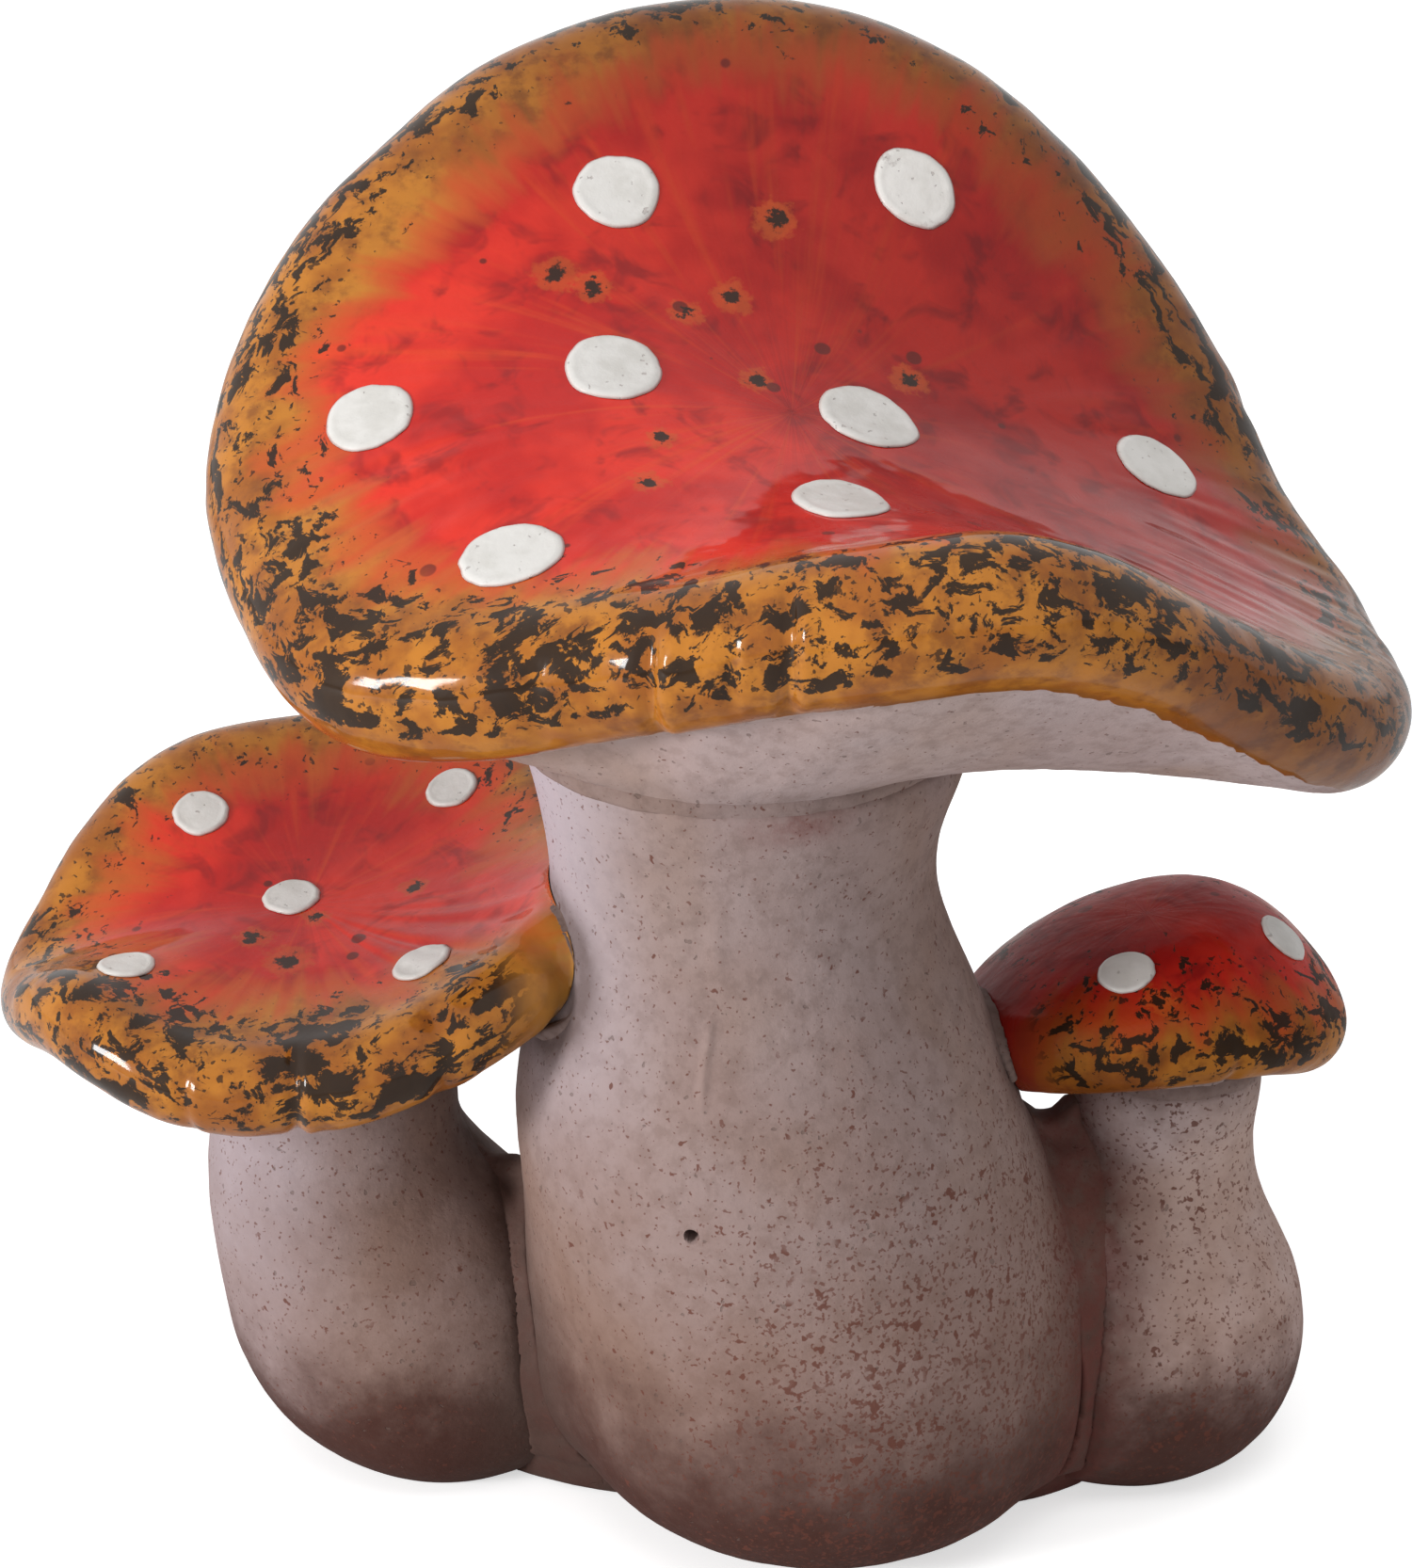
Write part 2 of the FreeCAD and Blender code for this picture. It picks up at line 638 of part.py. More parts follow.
for item in DOC.Objects:
    if "Invalid" in item.State or "Error" in item.State:
        raise RuntimeError(f"{item.Name} failed: {item.State}")
os.makedirs("parts", exist_ok=True)
for piece in PIECES:
    piece.Label = piece.Name
    shape = piece.Shape
    if shape.isNull() or not shape.isValid() or shape.Volume <= 0:
        raise RuntimeError(f"{piece.Name} has no sound shape")
    print(f"{piece.Name}: {len(shape.Solids)} solids, {shape.Volume / 1000:.2f} ml")
    shape.exportStep(f"parts/{piece.Name}.step")
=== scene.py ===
import bpy
import math
import numpy as np
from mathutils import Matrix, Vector
from mathutils.bvhtree import BVHTree


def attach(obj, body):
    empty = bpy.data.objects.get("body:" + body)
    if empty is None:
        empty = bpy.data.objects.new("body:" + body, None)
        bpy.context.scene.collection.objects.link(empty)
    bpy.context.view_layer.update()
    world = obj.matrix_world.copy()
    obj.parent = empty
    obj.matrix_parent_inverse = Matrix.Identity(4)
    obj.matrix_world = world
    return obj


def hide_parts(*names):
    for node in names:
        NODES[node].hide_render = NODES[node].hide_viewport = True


# Ceramic mushroom ornament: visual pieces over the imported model. Metres, +Z up, front faces -Y.

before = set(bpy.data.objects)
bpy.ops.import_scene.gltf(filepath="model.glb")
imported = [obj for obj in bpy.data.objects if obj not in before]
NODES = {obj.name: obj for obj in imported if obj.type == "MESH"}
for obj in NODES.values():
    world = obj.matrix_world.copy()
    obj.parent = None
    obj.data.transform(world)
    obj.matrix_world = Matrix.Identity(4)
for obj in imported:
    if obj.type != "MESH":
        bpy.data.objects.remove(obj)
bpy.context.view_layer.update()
MM = 0.001


# Smooth repeatable noise

def lattice(cells, seed):
    """A repeatable random number from -1 to 1 for each lattice cell."""
    mixed = (
        cells[..., 0] * 73856093
        ^ cells[..., 1] * 19349663
        ^ cells[..., 2] * 83492791
        ^ (seed * 2654435761)
    ) & 0xFFFFFFFF
    mixed = ((mixed ^ (mixed >> 15)) * 2246822519) & 0xFFFFFFFF
    mixed = ((mixed ^ (mixed >> 13)) * 3266489917) & 0xFFFFFFFF
    return ((mixed ^ (mixed >> 16)) & 0xFFFFFF) / 0x7FFFFF - 1.0


def value_noise(points, cell, seed):
    """Smooth noise from -1 to 1 with features about one cell across."""
    where = points / cell + 1000.0
    base = np.floor(where).astype(np.int64)
    part = where - base
    part = part * part * (3 - 2 * part)
    total = np.zeros(len(points))
    for corner in range(8):
        step = np.array([corner & 1, corner >> 1 & 1, corner >> 2 & 1])
        weight = np.prod(np.where(step, part, 1 - part), axis=1)
        total += weight * lattice(base + step, seed)
    return total


def layered_noise(points, cell, seed, layers=3):
    """Several layers of noise, each at half the size and strength of the one before."""
    total = np.zeros(len(points))
    for layer in range(layers):
        total += value_noise(points, cell / 2**layer, seed + layer) / 2**layer
    return total / (2 - 0.5 ** (layers - 1))


def smooth_step(low, high, value):
    share = np.clip((value - low) / (high - low), 0, 1)
    return share * share * (3 - 2 * share)


# Mesh helpers

def make_object(name, points, faces, smooth=True):
    mesh = bpy.data.meshes.new(name)
    mesh.from_pydata([tuple(p) for p in points], [], faces)
    mesh.validate()
    mesh.update()
    mesh.polygons.foreach_set("use_smooth", [smooth] * len(mesh.polygons))
    made = bpy.data.objects.new(name, mesh)
    bpy.context.scene.collection.objects.link(made)
    return made


def points_of(obj):
    flat = np.empty(len(obj.data.vertices) * 3)
    obj.data.vertices.foreach_get("co", flat)
    return flat.reshape(-1, 3)


def normals_of(obj):
    flat = np.empty(len(obj.data.vertices) * 3)
    obj.data.vertex_normals.foreach_get("vector", flat)
    return flat.reshape(-1, 3)


def move_points(obj, points):
    obj.data.vertices.foreach_set("co", np.ascontiguousarray(points).ravel())
    obj.data.update()


def set_attribute(obj, name, values):
    layer = obj.data.attributes.new(name, "FLOAT", "POINT")
    layer.data.foreach_set("value", np.asarray(values, dtype=np.float32))


def shape_of(obj):
    """A piece's points and faces as plain lists."""
    return [v.co[:] for v in obj.data.vertices], [tuple(p.vertices) for p in obj.data.polygons]


def tree_of(obj):
    return BVHTree.FromPolygons(*shape_of(obj))


def remeshed(name, node, voxel, smoothing):
    """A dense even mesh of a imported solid, smoothed by a few passes."""
    rough = make_object(name + "_rough", *shape_of(node))
    remesh = rough.modifiers.new("remesh", "REMESH")
    remesh.mode = "VOXEL"
    remesh.voxel_size = voxel
    remesh.use_smooth_shade = True
    relax = rough.modifiers.new("relax", "SMOOTH")
    relax.factor = 0.5
    relax.iterations = smoothing
    graph = bpy.context.evaluated_depsgraph_get()
    mesh = bpy.data.meshes.new_from_object(rough.evaluated_get(graph))
    mesh.name = name
    bpy.data.objects.remove(rough)
    made = bpy.data.objects.new(name, mesh)
    bpy.context.scene.collection.objects.link(made)
    mesh.polygons.foreach_set("use_smooth", [True] * len(mesh.polygons))
    return made


# Caps: the same outline shares and sizes as the part's own caps, in millimetres

CROWN_ROWS = [0.0, 0.07, 0.19, 0.33, 0.47, 0.61, 0.74, 0.85, 0.94]
UNDERSIDE_ROWS = [0.12, 0.34, 0.58, 0.8, 0.93, 1.0]
NET_TURNS = 64
LARGE = dict(
    neck=(-9.0, 0.0, 95.0), neck_radius=23.6, half=(64.5, 48.5), shift=5.5, back=9.0, rise=55.0,
    crown=30.5, rim_radius=7.5, pinch=1.9, slope=(-0.25, 0.24), fall=2.2,
    rim=[(1.085, -0.035), (1.09, 0.05), (1.045, 0.42), (0.99, 0.79), (1.0, 0.95), (1.015, 0.92),
         (1.0, 0.77), (0.995, 0.57), (1.0, 0.37), (1.01, 0.25), (1.075, 0.19), (1.0, 0.28),
         (1.0, 0.4), (1.0, 0.43), (1.02, 0.23), (1.1, 0.02)],
    pinches=[(252.0, 0.9), (268.0, 1.0), (132.0, 0.9), (30.0, 0.9)],
)
LEFT = dict(
    neck=(-54.53, 12.03, 49.5), neck_radius=13.2, half=(33.0, 32.0), shift=-2.0, back=-2.0,
    rise=23.0, crown=18.5, rim_radius=5.0, pinch=0.9, slope=(0.05, 0.2), fall=2.2,
    rim=[(0.95, 0.93), (0.95, 0.96), (1.0, 1.02), (1.0, 1.0), (0.95, 0.96), (0.96, 0.72),
         (1.12, 0.31), (1.0, 0.52), (1.0, 0.44), (1.0, 0.42), (1.04, 0.6), (1.1, 0.9)],
    pinches=[(272.0, 1.0), (195.0, 0.6)],
)
RIGHT = dict(
    neck=(39.58, 11.21, 49.5), neck_radius=10.2, half=(25.4, 22.0), shift=-3.5, back=-1.0,
    rise=9.0, crown=17.3, rim_radius=5.2, pinch=0.3, slope=(0.2, 0.05), fall=2.8,
    rim=[(1.1, 0.2), (1.0, 0.9), (1.0, 0.83), (1.0, 0.28), (1.0, 0.06), (1.0, 0.5),
         (0.97, 0.8), (1.0, 0.62)],
    pinches=[(300.0, 1.0)],
)


def closed_spline(values, places):
    """The smooth closed curve through evenly spaced values, read at places counted in values."""
    values = np.array(values, dtype=float)
    count = len(values)
    matrix = 4 * np.eye(count) + np.roll(np.eye(count), 1, 1) + np.roll(np.eye(count), -1, 1)
    bend = np.linalg.solve(matrix, 6 * (np.roll(values, -1, 0) - 2 * values + np.roll(values, 1, 0)))
    first = np.floor(places).astype(int) % count
    after = (first + 1) % count
    f = (places - np.floor(places))[:, None]
    flat = (1 - f) * values[first] + f * values[after]
    return flat + (((1 - f) ** 3 - (1 - f)) * bend[first] + (f**3 - f) * bend[after]) / 6


def cubic_weights(count, knots, places):
    """Weights of a cubic spline's control points at places along its knots."""
    weights = np.zeros((len(places), len(knots) - 1))
    last = np.max(np.nonzero(np.diff(knots) > 0))
    for i in range(len(knots) - 1):
        inside = (places >= knots[i]) & (places < knots[i + 1])
        weights[:, i] = inside | ((i == last) & (places >= knots[-1]))
    for degree in (1, 2, 3):
        raised = np.zeros((len(places), len(knots) - 1 - degree))
        for i in range(raised.shape[1]):
            left = knots[i + degree] - knots[i]
            right = knots[i + degree + 1] - knots[i + 1]
            if left > 0:
                raised[:, i] += (places - knots[i]) / left * weights[:, i]
            if right > 0:
                raised[:, i] += (knots[i + degree + 1] - places) / right * weights[:, i + 1]
        weights = raised
    return weights[:, :count]


def cap_net(cap):
    """The cap's control points, bearing by bearing from crown to neck."""
    turns = 2 * math.pi * np.arange(NET_TURNS) / NET_TURNS
    rim = cap["rim"]
    corners = 2 * math.pi * np.arange(len(rim)) / len(rim)
    through = [(r * math.cos(a), r * math.sin(a), h) for (r, h), a in zip(rim, corners)]
    shares = closed_spline(through, turns / (2 * math.pi) * len(rim))
    radius = cap["rim_radius"]
    x, y = shares[:, 0] * (cap["half"][0] - radius), shares[:, 1] * (cap["half"][1] - radius)
    reach, heading = np.hypot(x, y), np.arctan2(y, x)
    for bearing, depth in cap["pinches"]:
        away = (np.degrees(turns) - bearing + 180) % 360 - 180
        reach = reach - cap["pinch"] * depth * np.exp(-((away / 5.0) ** 2))
    height = shares[:, 2] * cap["rise"]
    along, across = np.cos(heading), np.sin(heading)
    lean = (cap["slope"][0] * along + cap["slope"][1] * across) * reach
    crest = height + radius
    fall = crest - cap["crown"] - lean
    neck = np.array(cap["neck"])
    centre = neck + np.array([cap["shift"], cap["back"], 0.0])

    def place(distance, lift):
        return np.stack([centre[0] + distance * along, centre[1] + distance * across, centre[2] + lift], 1)

    rows = [place(reach * s, cap["crown"] + lean * s + fall * s ** cap["fall"]) for s in CROWN_ROWS]
    tilt = np.arctan2(lean + cap["fall"] * fall, reach)
    full = radius * 3 / (2 + math.cos(math.radians(30)))
    core_x, core_z = reach + radius * np.sin(tilt), crest - radius * np.cos(tilt)
    for step in range(7):
        angle = math.pi / 2 + tilt - math.radians(30) * step
        rows.append(place(core_x + full * np.cos(angle), core_z + full * np.sin(angle)))
    ring = np.stack([neck[0] + cap["neck_radius"] * np.cos(turns),
                     neck[1] + cap["neck_radius"] * np.sin(turns),
                     np.full(NET_TURNS, neck[2])], 1)
    rows += [rows[-1] + (ring - rows[-1]) * s for s in UNDERSIDE_ROWS]
    return np.stack(rows, 1)


def cap_surface(cap, columns, spacing):
    """Points of a cap's outside on an even grid, and each point's distance from the outermost line."""
    net = cap_net(cap)
    count = net.shape[1]
    knots = np.concatenate([[0] * 3, np.arange(count - 2), [count - 3] * 3]).astype(float)
    places = np.arange(columns) / columns * NET_TURNS
    base = np.floor(places).astype(int)
    f = places - base
    around = np.zeros((columns, NET_TURNS))
    for shift, weight in ((-1, (1 - f) ** 3), (0, 3 * f**3 - 6 * f**2 + 4),
                          (1, -3 * f**3 + 3 * f**2 + 3 * f + 1), (2, f**3)):
        around[np.arange(columns), (base + shift) % NET_TURNS] += weight / 6
    fine = np.linspace(0, count - 3, 801)
    dense = np.einsum("tn,nrk,pr->tpk", around, net, cubic_weights(count, knots, fine))
    length = np.concatenate([[0], np.cumsum(np.linalg.norm(np.diff(dense, axis=1), axis=2).mean(0))])
    rows = int(length[-1] / spacing)
    even = np.interp(np.linspace(0, length[-1], rows + 1), length, fine)
    grid = np.einsum("tn,nrk,pr->tpk", around, net, cubic_weights(count, knots, even))
    arc = np.concatenate(
        [np.zeros((columns, 1)), np.cumsum(np.linalg.norm(np.diff(grid, axis=1), axis=2), 1)], 1)
    centre = np.array(cap["neck"][:2]) + np.array([cap["shift"], cap["back"]])
    outermost = np.argmax(np.linalg.norm(grid[:, :, :2] - centre, axis=2), axis=1)
    rim_distance = arc[np.arange(columns), outermost][:, None] - arc
    return grid, rim_distance, outermost


# Millimetres from a cap's outermost line, down its underside, to the middle of the ragged glaze edge
GLAZE_EDGE = 8.8
# Metres within which a point's nearest place on another piece is looked for
FAR_REACH = 0.03
# The vent pinhole in the front of the large stem, in millimetres: its middle and half its width as drawn
VENT_X, VENT_Z, VENT_EDGE = -14.0, 47.0, 0.85
VENT_BEARING = math.radians(249)
# Millimetres over which two stems flow together, and the furthest that this moves a point
VALLEY_REACH, VALLEY_LIMIT = 14.0, 2.2


def cap_object(name, cap, columns, spacing, seed):
    """A cap as a closed mesh with hand-finished relief, and the facts its glaze needs."""
    grid, rim_distance, outermost = cap_surface(cap, columns, spacing)
    columns, rows = grid.shape[:2]
    # The glaze ends in a ragged line: in each column one point slides onto it
    flat = grid.reshape(-1, 3)
    above = rim_distance + GLAZE_EDGE
    above += (0.9 * layered_noise(flat, 5.0, 51, 3) + 0.3 * value_noise(flat, 1.4, 53)).reshape(columns, rows)
    line = np.zeros(columns, dtype=int)
    for c in range(columns):
        r = outermost[c] + int(np.argmax(above[c, outermost[c]:] < 0))
        share = above[c, r - 1] / (above[c, r - 1] - above[c, r])
        line[c] = r - 1 if share < 0.5 else r
        grid[c, line[c]] = grid[c, r - 1] + (grid[c, r] - grid[c, r - 1]) * share
        rim_distance[c, line[c]] = rim_distance[c, r - 1] + (rim_distance[c, r] - rim_distance[c, r - 1]) * share
    points = np.array([grid[0, 0]] + list(grid[:, 1:].reshape(-1, 3)) + [np.array(cap["neck"])])
    faces = []

    def at(column, row):
        return 1 + (column % columns) * (rows - 1) + row - 1

    bare = []
    for c in range(columns):
        here, there = line[c], line[(c + 1) % columns]
        faces.append((0, at(c, 1), at(c + 1, 1)))
        bare.append(0)
        for r in range(1, rows - 1):
            a, b, d, e = at(c, r), at(c, r + 1), at(c + 1, r + 1), at(c + 1, r)
            if (here, there) == (r, r + 1):
                faces += [(a, d, e), (a, b, d)]
                bare += [0, 1]
            elif (here, there) == (r + 1, r):
                faces += [(a, b, e), (b, d, e)]
                bare += [0, 1]
            else:
                faces.append((a, b, d, e))
                bare.append(int(r >= (here + there) / 2))
        faces.append((at(c, rows - 1), len(points) - 1, at(c + 1, rows - 1)))
        bare.append(1)
    made = make_object(name, points * MM, faces)
    made.data.polygons.foreach_set("material_index", bare)
    centre = np.array(cap["neck"][:2]) + np.array([cap["shift"], cap["back"]])
    flat = points[:, :2] - centre
    rim = np.concatenate([[rim_distance[0, 0]], rim_distance[:, 1:].ravel(), [rim_distance[0, -1]]])
    turn = np.degrees(np.arctan2(flat[:, 1], flat[:, 0])) % 360
    mean_reach = (cap["half"][0] + cap["half"][1]) / 2
    flow = np.stack([np.cos(np.radians(turn)) * mean_reach, np.sin(np.radians(turn)) * mean_reach,
                     rim * 0.12], 1)
    # Waves and dents of the hand-finished casting, and pinched creases in the rolled rim
    edge = np.exp(-((rim - 1) / 9.0) ** 2)
    lift = 0.25 * layered_noise(points, 15.0, seed, 2) + 0.26 * edge * layered_noise(points, 7.0, seed + 7, 2)
    lift += 0.025 * value_noise(points, 1.6, seed + 11)
    under = smooth_step(-8.0, -11.0, rim)
    lift += under * (0.12 * layered_noise(points, 6.0, seed + 17, 3) + 0.05 * value_noise(points, 1.3, seed + 19))
    for bearing, depth, wide, low, high in cap["creases"]:
        away = (turn - bearing + 180) % 360 - 180
        along = smooth_step(low - 3, low + 1, rim) * (1 - smooth_step(high - 3, high + 2, rim))
        lift -= depth * along * np.exp(-((away / wide) ** 2))
        lift += 0.35 * depth * along * np.exp(-(((away - 2.2 * wide) / (1.3 * wide)) ** 2))
    for bearing, width, depth in cap["flutes"]:
        away = (turn - bearing + 180) % 360 - 180
        mask = np.exp(-((away / width) ** 2)) * smooth_step(1, 9, rim) * (1 - smooth_step(22, 40, rim))
        lift += depth * mask * layered_noise(flow, 3.2, seed + 29, 2)
    normals = normals_of(made)
    fade = smooth_step(0.0, 4.0, rim - rim.min())
    move_points(made, (points + normals * (lift * fade)[:, None]) * MM)
    set_attribute(made, "rim", rim)
    set_vector(made, "flow", flow)
    return made


def set_vector(obj, name, values):
    layer = obj.data.attributes.new(name, "FLOAT_VECTOR", "POINT")
    layer.data.foreach_set("vector", np.asarray(values, dtype=np.float32).ravel())


def distances(points, tree, reach):
    """Distance in millimetres from each point to a surface, no more than the reach."""
    found = np.full(len(points), reach)
    for i, p in enumerate(points):
        hit = tree.find_nearest(Vector(p), reach * MM)
        if hit[0] is not None:
            found[i] = min(reach, hit[3] / MM)
    return found


def press_out(obj, tree, gap):
    """Moves the points of a piece that lie inside another form out to its surface, and a gap more."""
    points = points_of(obj)
    for i, p in enumerate(points):
        place, normal, _, _ = tree.find_nearest(Vector(p), FAR_REACH)
        if place is None:
            continue
        apart = (Vector(p) - place).dot(normal)
        if apart < gap * MM:
            points[i] = place + normal * (gap * MM)
    move_points(obj, points)


# Stems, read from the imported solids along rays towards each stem's own axis

def stem_axis(side, height):
    """A point near the middle of a stem at a height, in millimetres."""
    foot, neck, top = STEM_AXES[side]
    share = np.clip(height / top, 0, 1)
    bend = share * share * (3 - 2 * share) * 0.55 + share * 0.45
    return foot[0] + (neck[0] - foot[0]) * bend, foot[1] + (neck[1] - foot[1]) * bend


STEM_AXES = {
    "large": ((0.0, 0.0), (-9.0, 0.0), 94.0),
    "left": ((-42.5, 12.0), (-54.5, 12.0), 48.5),
    "right": ((36.1, 10.2), (39.6, 11.2), 48.5),
}


def stem_grid(side, columns, rows):
    """The outside of a packed stem as an even grid of points, in millimetres."""
    tree = tree_of(NODES[f"{side}_stem"])
    top = STEM_AXES[side][2]
    shares = np.linspace(0, 1, rows)
    turns = 2 * math.pi * np.arange(columns) / columns
    if side == "large":
        # Points crowd round the vent
        shares = shares - 0.1 * (np.sin(2 * math.pi * (shares - 0.585)) + math.sin(2 * math.pi * 0.585))
        turns = turns - 0.75 * np.sin(turns - VENT_BEARING)
    levels = top * (0.35 * shares**2 + 0.65 * shares)
    levels[0], levels[-1] = 0.02, top - 0.02
    grid = np.zeros((columns, rows, 3))
    reach = np.zeros((columns, rows))
    for r, level in enumerate(levels):
        x, y = stem_axis(side, level)
        for c, turn in enumerate(turns):
            heading = Vector((-math.cos(turn), -math.sin(turn), 0))
            start = Vector((x, y, level)) * MM - heading * 0.06
            hit = tree.ray_cast(start, heading, 0.06)
            reach[c, r] = 60 - hit[3] / MM if hit[0] is not None else np.nan
        line = reach[:, r]
        if side == "large" and abs(level - VENT_Z) < 1.5:
            line[np.abs(turns - VENT_BEARING) < math.radians(3.8)] = np.nan
        known = ~np.isnan(line)
        line[~known] = np.interp(np.flatnonzero(~known), np.flatnonzero(known), line[known])
        middle = np.median([np.roll(line, k) for k in range(-9, 10)], axis=0)
        line[:] = np.where(np.abs(line - middle) > 1.2, middle, line)
    levels[0], levels[-1] = 0.0, top
    for r, level in enumerate(levels):
        x, y = stem_axis(side, level)
        grid[:, r] = np.stack([x + reach[:, r] * np.cos(turns), y + reach[:, r] * np.sin(turns),
                               np.full(columns, level)], 1)
    return grid


def stem_object(side, grid, seed):
    columns, rows = grid.shape[:2]
    points = np.concatenate([grid.reshape(-1, 3), [grid[:, 0].mean(0)], [grid[:, -1].mean(0)]])
    low, high = columns * rows, columns * rows + 1
    faces = []
    for c in range(columns):
        d = (c + 1) % columns
        faces.append((low, d * rows, c * rows))
        faces.append((high, c * rows + rows - 1, d * rows + rows - 1))
        for r in range(rows - 1):
            faces.append((c * rows + r, d * rows + r, d * rows + r + 1, c * rows + r + 1))
    made = make_object(f"{side}_stem_clay", points * MM, faces)
    height = points[:, 2]
    fade = smooth_step(0.0, 2.5, height) * smooth_step(0.0, 1.5, height.max() - height)
    lift = 0.24 * layered_noise(points, 17.0, seed, 2) + 0.1 * layered_noise(points, 5.0, seed + 5, 2)
    lift += 0.035 * layered_noise(points, 1.8, seed + 9, 2)
    if side == "large":
        # The mould seam down the front and two tool marks
        seam = np.exp(-(((points[:, 0] + 12.5 + 0.4 * np.sin(height / 3)) / 0.55) ** 2)) * (points[:, 1] < 0)
        lift += 0.3 * seam * smooth_step(60, 63, height) * (1 - smooth_step(68, 71, height))
        for x, z, wide, tall, deep in ((-11.5, 77.0, 1.1, 2.6, 0.3), (-21.0, 76.5, 4.0, 1.0, 0.25)):
            mark = np.exp(-((points[:, 0] - x) / wide) ** 2 - ((height - z) / tall) ** 2)
            lift += deep * mark * (points[:, 1] < 0)
        # The vent pinhole: the points next to it go to its edge, and those inside go in
        dx, dz = points[:, 0] - VENT_X, height - VENT_Z
        away = np.hypot(dx, dz)
        front = points[:, 1] < 0
        ring = front & (away > 0.68) & (away < 1.02)
        scale = VENT_EDGE / np.maximum(away, 1e-6)
        points[ring, 0] = VENT_X + dx[ring] * scale[ring]
        points[ring, 2] = VENT_Z + dz[ring] * scale[ring]
        inside = front & (away <= 0.68)
        points[inside, 1] += 4.0
    normals = normals_of(made)
    move_points(made, (points + normals * (lift * fade)[:, None]) * MM)
    return made


def web_object(side, seed):
    """The clay rolled into the groove between two stems, softened and swollen into both."""
    made = remeshed(f"{side}_web_clay", NODES[f"{side}_stem_web"], (0.45 if fine else 0.9) * MM, 6)
    points = points_of(made) / MM
    lift = 0.4 + 0.2 * layered_noise(points, 5.0, seed, 3)
    lift *= smooth_step(0.0, 1.5, points[:, 2])
    move_points(made, (points + normals_of(made) * lift[:, None]) * MM)
    return made


def draw_to_valley(obj, chosen, first, second, sunk):
    """Moves chosen points to the smooth valley where two stems flow together.

    A web's points go in or out and end sunk millimetres below the valley, wider at the foot. With sunk at
    none, for the stems' own points, they only go out.
    """
    start = points_of(obj)
    moved = start.copy()
    for _ in range(4):
        for i in chosen:
            p = Vector(moved[i])
            spot_a, normal_a, _, _ = first.find_nearest(p)
            spot_b, normal_b, _, _ = second.find_nearest(p)
            a, b = (p - spot_a).dot(normal_a) / MM, (p - spot_b).dot(normal_b) / MM
            foot = math.exp(-((p.z / MM / 5) ** 2)) if sunk else 0
            reach = VALLEY_REACH + 18 * foot
            blend = min(1, max(reach - abs(a - b), 0) / reach)
            above = min(a, b) - blend * blend * reach / 4 + sunk
            above *= 1 if above > 0 else max(0, 1 - 2.5 * foot)
            if blend > 0 and (above < 0 or sunk):
                share = 1 - blend / 2 if a < b else blend / 2
                moved[i] = p - (normal_a * share + normal_b * (1 - share)) * (0.8 * above * MM)
    shift = (moved - start) * (1 if sunk else smooth_step(49, 41, start[:, 2:] / MM))
    shift[:, 2] *= smooth_step(0.0, 8.0, start[:, 2] / MM)
    far = np.linalg.norm(shift, axis=1, keepdims=True)
    moved = start + shift * np.minimum(1, VALLEY_LIMIT * MM / np.maximum(far, 1e-9))
    moved[chosen, 2] = np.maximum(moved[chosen, 2], 0.1 * MM)
    move_points(obj, moved)


def ring_object(side, cap, seed):
    """The smoothed bead of slip at a cap's neck."""
    columns, rows = 180, 9
    x, y, z = cap["neck"]
    turns = 2 * math.pi * np.arange(columns) / columns
    points = []
    for row in range(rows):
        share = row / (rows - 1)
        level = z - 1.6 + 2.2 * share
        bulge = 0.32 * math.sin(math.pi * share)
        radius = cap["neck_radius"] - 0.12 + bulge
        for t in turns:
            points.append((x + radius * math.cos(t), y + radius * math.sin(t), level))
    inner = []
    inner_radius = cap["neck_radius"] - 2
    for level in (z - 1.6, z + 0.6):
        for t in turns:
            inner.append((x + inner_radius * math.cos(t), y + inner_radius * math.sin(t), level))
    points = np.array(points + inner)
    low, high = rows * columns, (rows + 1) * columns
    faces = []
    for c in range(columns):
        d = (c + 1) % columns
        for r in range(rows - 1):
            faces.append((r * columns + c, r * columns + d, (r + 1) * columns + d, (r + 1) * columns + c))
        faces.append((low + c, low + d, d, c))
        faces.append((low + d, low + c, high + c, high + d))
        top = (rows - 1) * columns
        faces.append((top + c, top + d, high + d, high + c))
    made = make_object(f"{side}_neck_slip", points * MM, faces)
    lift = np.where(np.arange(len(points)) < rows * columns, 0.2 * layered_noise(points, 4.0, seed, 3), 0)
    move_points(made, (points + normals_of(made) * lift[:, None]) * MM)
    return made


